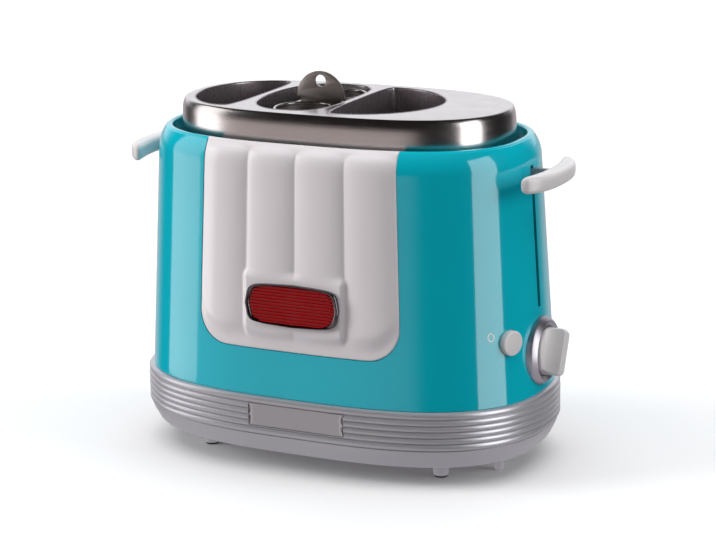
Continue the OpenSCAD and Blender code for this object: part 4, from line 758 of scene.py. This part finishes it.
grip_low, grip_high, grip_round = bezel_face + 0.4, bezel_rim + grip_out, 3.0
end_t = np.linspace(0, np.pi / 2, 10)
grip_path = ([(0, grip_low + 1), (skirt_r, grip_low + 1)]
             + [(skirt_r - grip_round + grip_round * math.cos(a),
                 grip_high - grip_round + grip_round * math.sin(a)) for a in end_t] + [(0, grip_high)])
turn = (Matrix.Translation((0, 0, knob_z)) @ Matrix.Rotation(-grip_turn, 4, "X")
        @ Matrix.Translation((0, 0, -knob_z)))
grip = joined("knob_moulding", [moved(turned(grip_path, 128), turn @ on_knob)])
scoops = [moved(turned([(0, -40), (scoop_r, -40), (scoop_r, 40), (0, 40)], 160),
                turn @ Matrix.Translation((grip_high + 2, s * (grip_t / 2 + scoop_r - 0.5), knob_z)))
          for s in (-1, 1)]
carve(grip, scoops)
soft = grip.modifiers.new("soft", "BEVEL")
soft.width, soft.segments, soft.limit_method, soft.angle_limit = 0.0009, 3, "ANGLE", math.radians(38)
bake(grip)
dress(grip, white_nylon, "knob", ["knob_grip"], 50)
disc = joined("knob_skirt", [moved(turned([(0, grip_low), (skirt_r - 0.4, grip_low), (skirt_r, grip_low + 0.4),
                                           (skirt_r, grip_low + 2.4), (skirt_r - 0.6, grip_low + 3),
                                           (0, grip_low + 3)], 128), on_knob)])
dress(disc, white_nylon, "knob", ["knob_grip"], 50)


# ---- Cancel button ----
# A round white button, slightly domed, that slides in a hole in the shell.
button_out, button_round = 4.0, 1.3
button_path = [(0, -5), (button_r, -5), (button_r, button_out - 1.7)]
button_path += [(button_r - button_round + button_round * math.cos(a),
                 button_out - 1.7 + button_round * math.sin(a)) for a in end_t[1:]]
button_path += [(4, button_out - 0.15), (0, button_out)]
button = joined("button_moulding", [moved(turned(button_path, 96), on_button)])
dress(button, white_nylon, "cancel_button", ["button_cap"], 50)


# ---- Sausage basket ----
# A lift-out basket: two turned steel rings on a bridge plate, a half-round tab with a hole to lift it
# by, and a slotted cage under each ring.
basket_x, sausage_y, cage_r = -20.0, 27.5, 19.0
ring_top, plate_low = 248.5, 245.9
# Turned stainless: bright, with faint tool marks drawn 0.8 mm apart, coarser than real.
bright_steel = finish_named("turned_stainless", "C9C4C2", {"Metallic": 1.0}, 0.8, (0.16, 0.24), 0.002)
# Brushed stainless: a soft grey sheen drawn out along the brushing.
satin_steel = finish_named("satin_stainless", "D2CBC6", {"Metallic": 1.0}, 0.35, (0.34, 0.44), 0.004,
                           stretch=(0.12, 1, 1), tint=0.02)
bead_t = np.linspace(0, np.pi, 13)
ring_path = ([(cage_r, plate_low), (cage_r + 2, plate_low), (cage_r + 2, ring_top - 1)]
             + [(cage_r + 1 + math.cos(a), ring_top - 1 + math.sin(a)) for a in bead_t[1:-1]]
             + [(cage_r, ring_top - 1)])
rings_part = [moved(turned(ring_path, 128), Matrix.Translation((basket_x, s * sausage_y, 0)))
              for s in (-1, 1)]
bridge = joined("basket_bridge", [box_of((basket_x - 17, -14, plate_low),
                                         (basket_x + 17, 14, plate_low + 1.2))])
carve(bridge, [moved(turned([(0, 230), (cage_r + 1, 230), (cage_r + 1, 255), (0, 255)], 128),
                     Matrix.Translation((basket_x, s * sausage_y, 0))) for s in (-1, 1)])
basket_rings = joined("basket_rings", rings_part)
dress(basket_rings, bright_steel, "basket", ["basket_plate"], 40)
dress(bridge, bright_steel, "basket", ["basket_plate"], 40)

tab_r, tab_t, tab_top, tab_foot = 18.5, 1.4, 268.9, plate_low + 1.2
tab_hole_r, tab_hole_z = 4.2, 262.1
arc_low = math.asin((tab_foot + 3 - (tab_top - tab_r)) / tab_r)
tab_arc = np.linspace(arc_low, np.pi - arc_low, 65)
tab_outline = ([(basket_x - 16, tab_foot), (basket_x + 16, tab_foot), (basket_x + 16, tab_foot + 3)]
               + [(basket_x + tab_r * math.cos(a), tab_top - tab_r + tab_r * math.sin(a)) for a in tab_arc]
               + [(basket_x - 16, tab_foot + 3)])
tab = joined("lifting_tab", [prism(tab_outline, -tab_t / 2, tab_t / 2, axis=1)])
hole_t = np.arange(48) * 2 * np.pi / 48
carve(tab, [prism(np.stack([basket_x + tab_hole_r * np.cos(hole_t),
                            tab_hole_z + tab_hole_r * np.sin(hole_t)], -1), -5, 5, axis=1)])
soft = tab.modifiers.new("soft", "BEVEL")
soft.width, soft.segments, soft.limit_method, soft.angle_limit = 0.0003, 2, "ANGLE", math.radians(50)
bake(tab)
dress(tab, satin_steel, "basket", ["basket_tab"], 40)


# ---- Inner works ----
# What shows through the wells, the slots and the base: galvanised sheet, wire guards, mica boards with
# heating ribbon, nylon guides and the crumb tray. Each keeps its construction solid.
# Galvanised sheet: cloudy grey spangles about 6 mm across.
galvanised = finish_named("galvanised_sheet", "A5A4A6", {"Metallic": 1.0}, 6.0, (0.3, 0.5), 0.006, tint=0.06)
# Drawn wire: fine marks along its length.
drawn_wire = finish_named("drawn_steel_wire", "A8A5A3", {"Metallic": 1.0}, 0.5, (0.25, 0.35), 0.004,
                          stretch=(1, 1, 0.1))
# Mica board: pressed flakes, tan and matt.
mica = finish_named("mica_board", "B9A27C", {}, 2.5, (0.45, 0.65), 0.02, tint=0.08)
# Heating alloy: a dull brown-grey oxide.
ribbon_alloy = finish_named("oxidised_heating_alloy", "5E5650", {"Metallic": 0.9}, 1.0, (0.45, 0.6), 0.005,
                            tint=0.05)
# Natural nylon: cream and half matt.
nylon = finish_named("natural_nylon", "D9D6CF", {"IOR": 1.53}, 1.5, (0.35, 0.45), 0.01)
# Black ABS: a fine moulded texture.
black_abs = finish_named("black_abs", "232326", {"IOR": 1.53}, 1.0, (0.4, 0.5), 0.01)
# Ground rod: bright, with marks along it.
ground_rod = finish_named("ground_steel_rod", "B9B9BD", {"Metallic": 1.0}, 0.3, (0.15, 0.22), 0.001,
                          stretch=(1, 1, 0.2))
# Spring wire: darker than the rods.
spring_wire = finish_named("spring_steel_wire", "7D7D80", {"Metallic": 1.0}, 0.5, (0.25, 0.35), 0.002)
# Soft iron: dark and matt.
soft_iron = finish_named("soft_iron", "5C5C60", {"Metallic": 1.0}, 1.5, (0.4, 0.55), 0.01, tint=0.05)
# Enamelled copper: warm and glossy, in fine turns.
copper = finish_named("enamelled_copper", "B0602B", {"Metallic": 0.9}, 0.5, (0.25, 0.4), 0.03,
                      stretch=(1, 1, 4))
# Board resin: green varnish, a little uneven.
board_resin = finish_named("circuit_board_resin", "2B6339", {"IOR": 1.5}, 2.0, (0.3, 0.45), 0.005, tint=0.04)
# Zinc plating: a dull bright grey.
zinc_screw = finish_named("zinc_plated_screw", "8E8E93", {"Metallic": 1.0}, 0.6, (0.25, 0.4), 0.004)
# Grey enamel on sheet: an even half gloss.
grey_enamel = finish_named("grey_enamelled_sheet", "8C8B8D", {"IOR": 1.5}, 1.2, (0.35, 0.5), 0.006,
                           tint=0.03)
# Enamel on the underside: the shell's teal, thin and dull.
teal_inside = finish_named("teal_underside_enamel", "0B5F68", {"IOR": 1.5}, 1.5, (0.3, 0.45), 0.004,
                           tint=0.03)
inner = {
    "seat_ring": teal_inside, "base_plate": grey_enamel, "base_screws": zinc_screw, "oven_box": galvanised,
    "heater_boards": mica, "heating_ribbon": ribbon_alloy, "wire_guards": drawn_wire, "guide_rods": ground_rod,
    "rod_brackets": galvanised, "return_spring": spring_wire, "magnet_core": soft_iron, "magnet_coil": copper,
    "control_board": board_resin, "board_components": black_abs, "board_stand": galvanised,
    "cancel_switch": black_abs, "timer_body": black_abs, "timer_stand": galvanised, "button_guide": nylon,
    "cord_gland": black_abs, "terminal_block": nylon, "carriage_frame": galvanised, "bun_rest_left": drawn_wire,
    "bun_rest_right": drawn_wire, "basket_cradle": galvanised, "slider_block": nylon, "left_guide_bush": nylon,
    "armature_plate": soft_iron, "sausage_cage_front": satin_steel, "sausage_cage_back": satin_steel,
    "bar_arm_right": galvanised, "bar_arm_left": galvanised, "knob_shaft": ground_rod, "button_stem": nylon,
    "crumb_tray": galvanised}
for node, material in inner.items():
    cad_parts[node].data.materials.clear()
    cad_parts[node].data.materials.append(material)


# ---- Studio ----
# A pale floor, even soft light from above, a soft key from the left and a fill from the right, and
# two soft boxes close by whose strips show in the gloss shell. The room that the metal shows is dark,
# but for a bright wall and a grey ground behind on the left, a table in front and the floor below.
floor_r = 9000
floor = mesh_of("floor", [(-floor_r, -floor_r, 0), (floor_r, -floor_r, 0), (floor_r, floor_r, 0),
                          (-floor_r, floor_r, 0)], [[0, 1, 2, 3]])
# Matt white lacquer: pale and without gloss.
pale_floor = finish_named("pale_matt_floor", "F9F9FA", {"Specular IOR Level": 0.0}, 3.0, (0.8, 0.9), 0.0)
floor.data.materials.append(pale_floor)
floor.visible_glossy = False
floor.visible_diffuse = False


def soft_box(name, centre, aim, width, height, radiance):
    """A rectangular lamp at a place in millimetres, facing a point, that only gloss shows. Its power
    is the radiance times pi times its area in square metres."""
    lamp = bpy.data.lights.new(name, "AREA")
    lamp.shape, lamp.size, lamp.size_y = "RECTANGLE", width / 1000, height / 1000
    lamp.energy = radiance * math.pi * width * height / 1e6
    made = bpy.data.objects.new(name, lamp)
    made.location = Vector(centre) / 1000
    made.rotation_euler = (Vector(aim) - Vector(centre)).to_track_quat("-Z", "Y").to_euler()
    made.visible_camera = made.visible_diffuse = False
    bpy.context.scene.collection.objects.link(made)


def soft_sun(name, azimuth_deg, elevation_deg, level_of, spread_deg):
    """Even light from one direction, soft by its spread, that gloss doesn't show. A white matt
    surface square to it reaches the given level."""
    lamp = bpy.data.lights.new(name, "SUN")
    lamp.energy, lamp.angle = level_of * math.pi, math.radians(spread_deg)
    made = bpy.data.objects.new(name, lamp)
    a, e = math.radians(azimuth_deg), math.radians(elevation_deg)
    towards = Vector((math.sin(a) * math.cos(e), -math.cos(a) * math.cos(e), math.sin(e)))
    made.rotation_euler = (-towards).to_track_quat("-Z", "Y").to_euler()
    made.visible_glossy = False
    bpy.context.scene.collection.objects.link(made)


soft_box("left_strip", (-334, -152, 215), (-92, -76, 215), 158, 430, 1.7)
soft_box("right_strip", (368, -98, 215), (125, -50, 215), 178, 430, 3.2)
soft_sun("from_above", 0, 88, 0.74, 85)
soft_sun("key", -62, 18, 0.68, 30)
soft_sun("fill", 100, 18, 0.47, 36)
world = bpy.data.worlds.new("studio")
bpy.context.scene.world = world
world.use_nodes = True
sky = world.node_tree
sky.nodes.clear()
where = add(sky, "ShaderNodeTexCoord")
way = add(sky, "ShaderNodeSeparateXYZ", {}, {"Vector": where.outputs["Generated"]})


def ramp_of(axis, start, end):
    """A level that rises from 0 to 1 while one component of the direction runs from start to end."""
    ramp = add(sky, "ShaderNodeMapRange", {"interpolation_type": "SMOOTHSTEP", "From Min": start,
                                           "From Max": end, "To Min": 0.0, "To Max": 1.0},
               {"Value": way.outputs[axis]})
    return ramp.outputs["Result"]


def product(*levels):
    """Product of several levels."""
    first = levels[0]
    for other in levels[1:]:
        first = add(sky, "ShaderNodeMath", {"operation": "MULTIPLY"}, {0: first, 1: other}).outputs["Value"]
    return first


def patch_of(colour, level_of, base):
    """A patch of one colour laid over what is there already."""
    mixed = add(sky, "ShaderNodeMix", {"data_type": "RGBA", "B": linear(colour)}, {"Factor": level_of})
    socket = [s for s in mixed.inputs if s.type == "RGBA"][0]
    if isinstance(base, tuple):
        socket.default_value = base
    else:
        sky.links.new(base, socket)
    return [s for s in mixed.outputs if s.type == "RGBA"][0]


def room_colour():
    """The dark room, with the table in front, the grey ground behind, the grey floor below and the
    bright wall behind, laid over each other in that order."""
    table = product(ramp_of("X", 0.3, 0.05), ramp_of("Y", 0.0, -0.3), ramp_of("Z", 0.03, -0.06))
    left_of = ramp_of("X", 0.42, 0.12)
    wall = product(ramp_of("Y", 0.1, 0.5), ramp_of("Z", -0.02, 0.08), ramp_of("Z", 0.8, 0.5), left_of)
    behind = product(ramp_of("Y", 0.2, 0.6), ramp_of("Z", 0.1, -0.05), left_of)
    below = ramp_of("Z", -0.3, -0.6)
    shown = patch_of("B4B0B3", behind, patch_of("B3AAA8", table, linear("1E1B1B")))
    shown = patch_of("B5B3B6", below, shown)
    return patch_of("F4F5FA", wall, shown)


seen = add(sky, "ShaderNodeLightPath")
shown_sky = patch_of("FFFFFF", seen.outputs["Is Camera Ray"], room_colour())
glow = add(sky, "ShaderNodeBackground", {"Strength": 1.15}, {"Color": shown_sky})
out = add(sky, "ShaderNodeOutputWorld", {}, {"Surface": glow.outputs["Background"]})
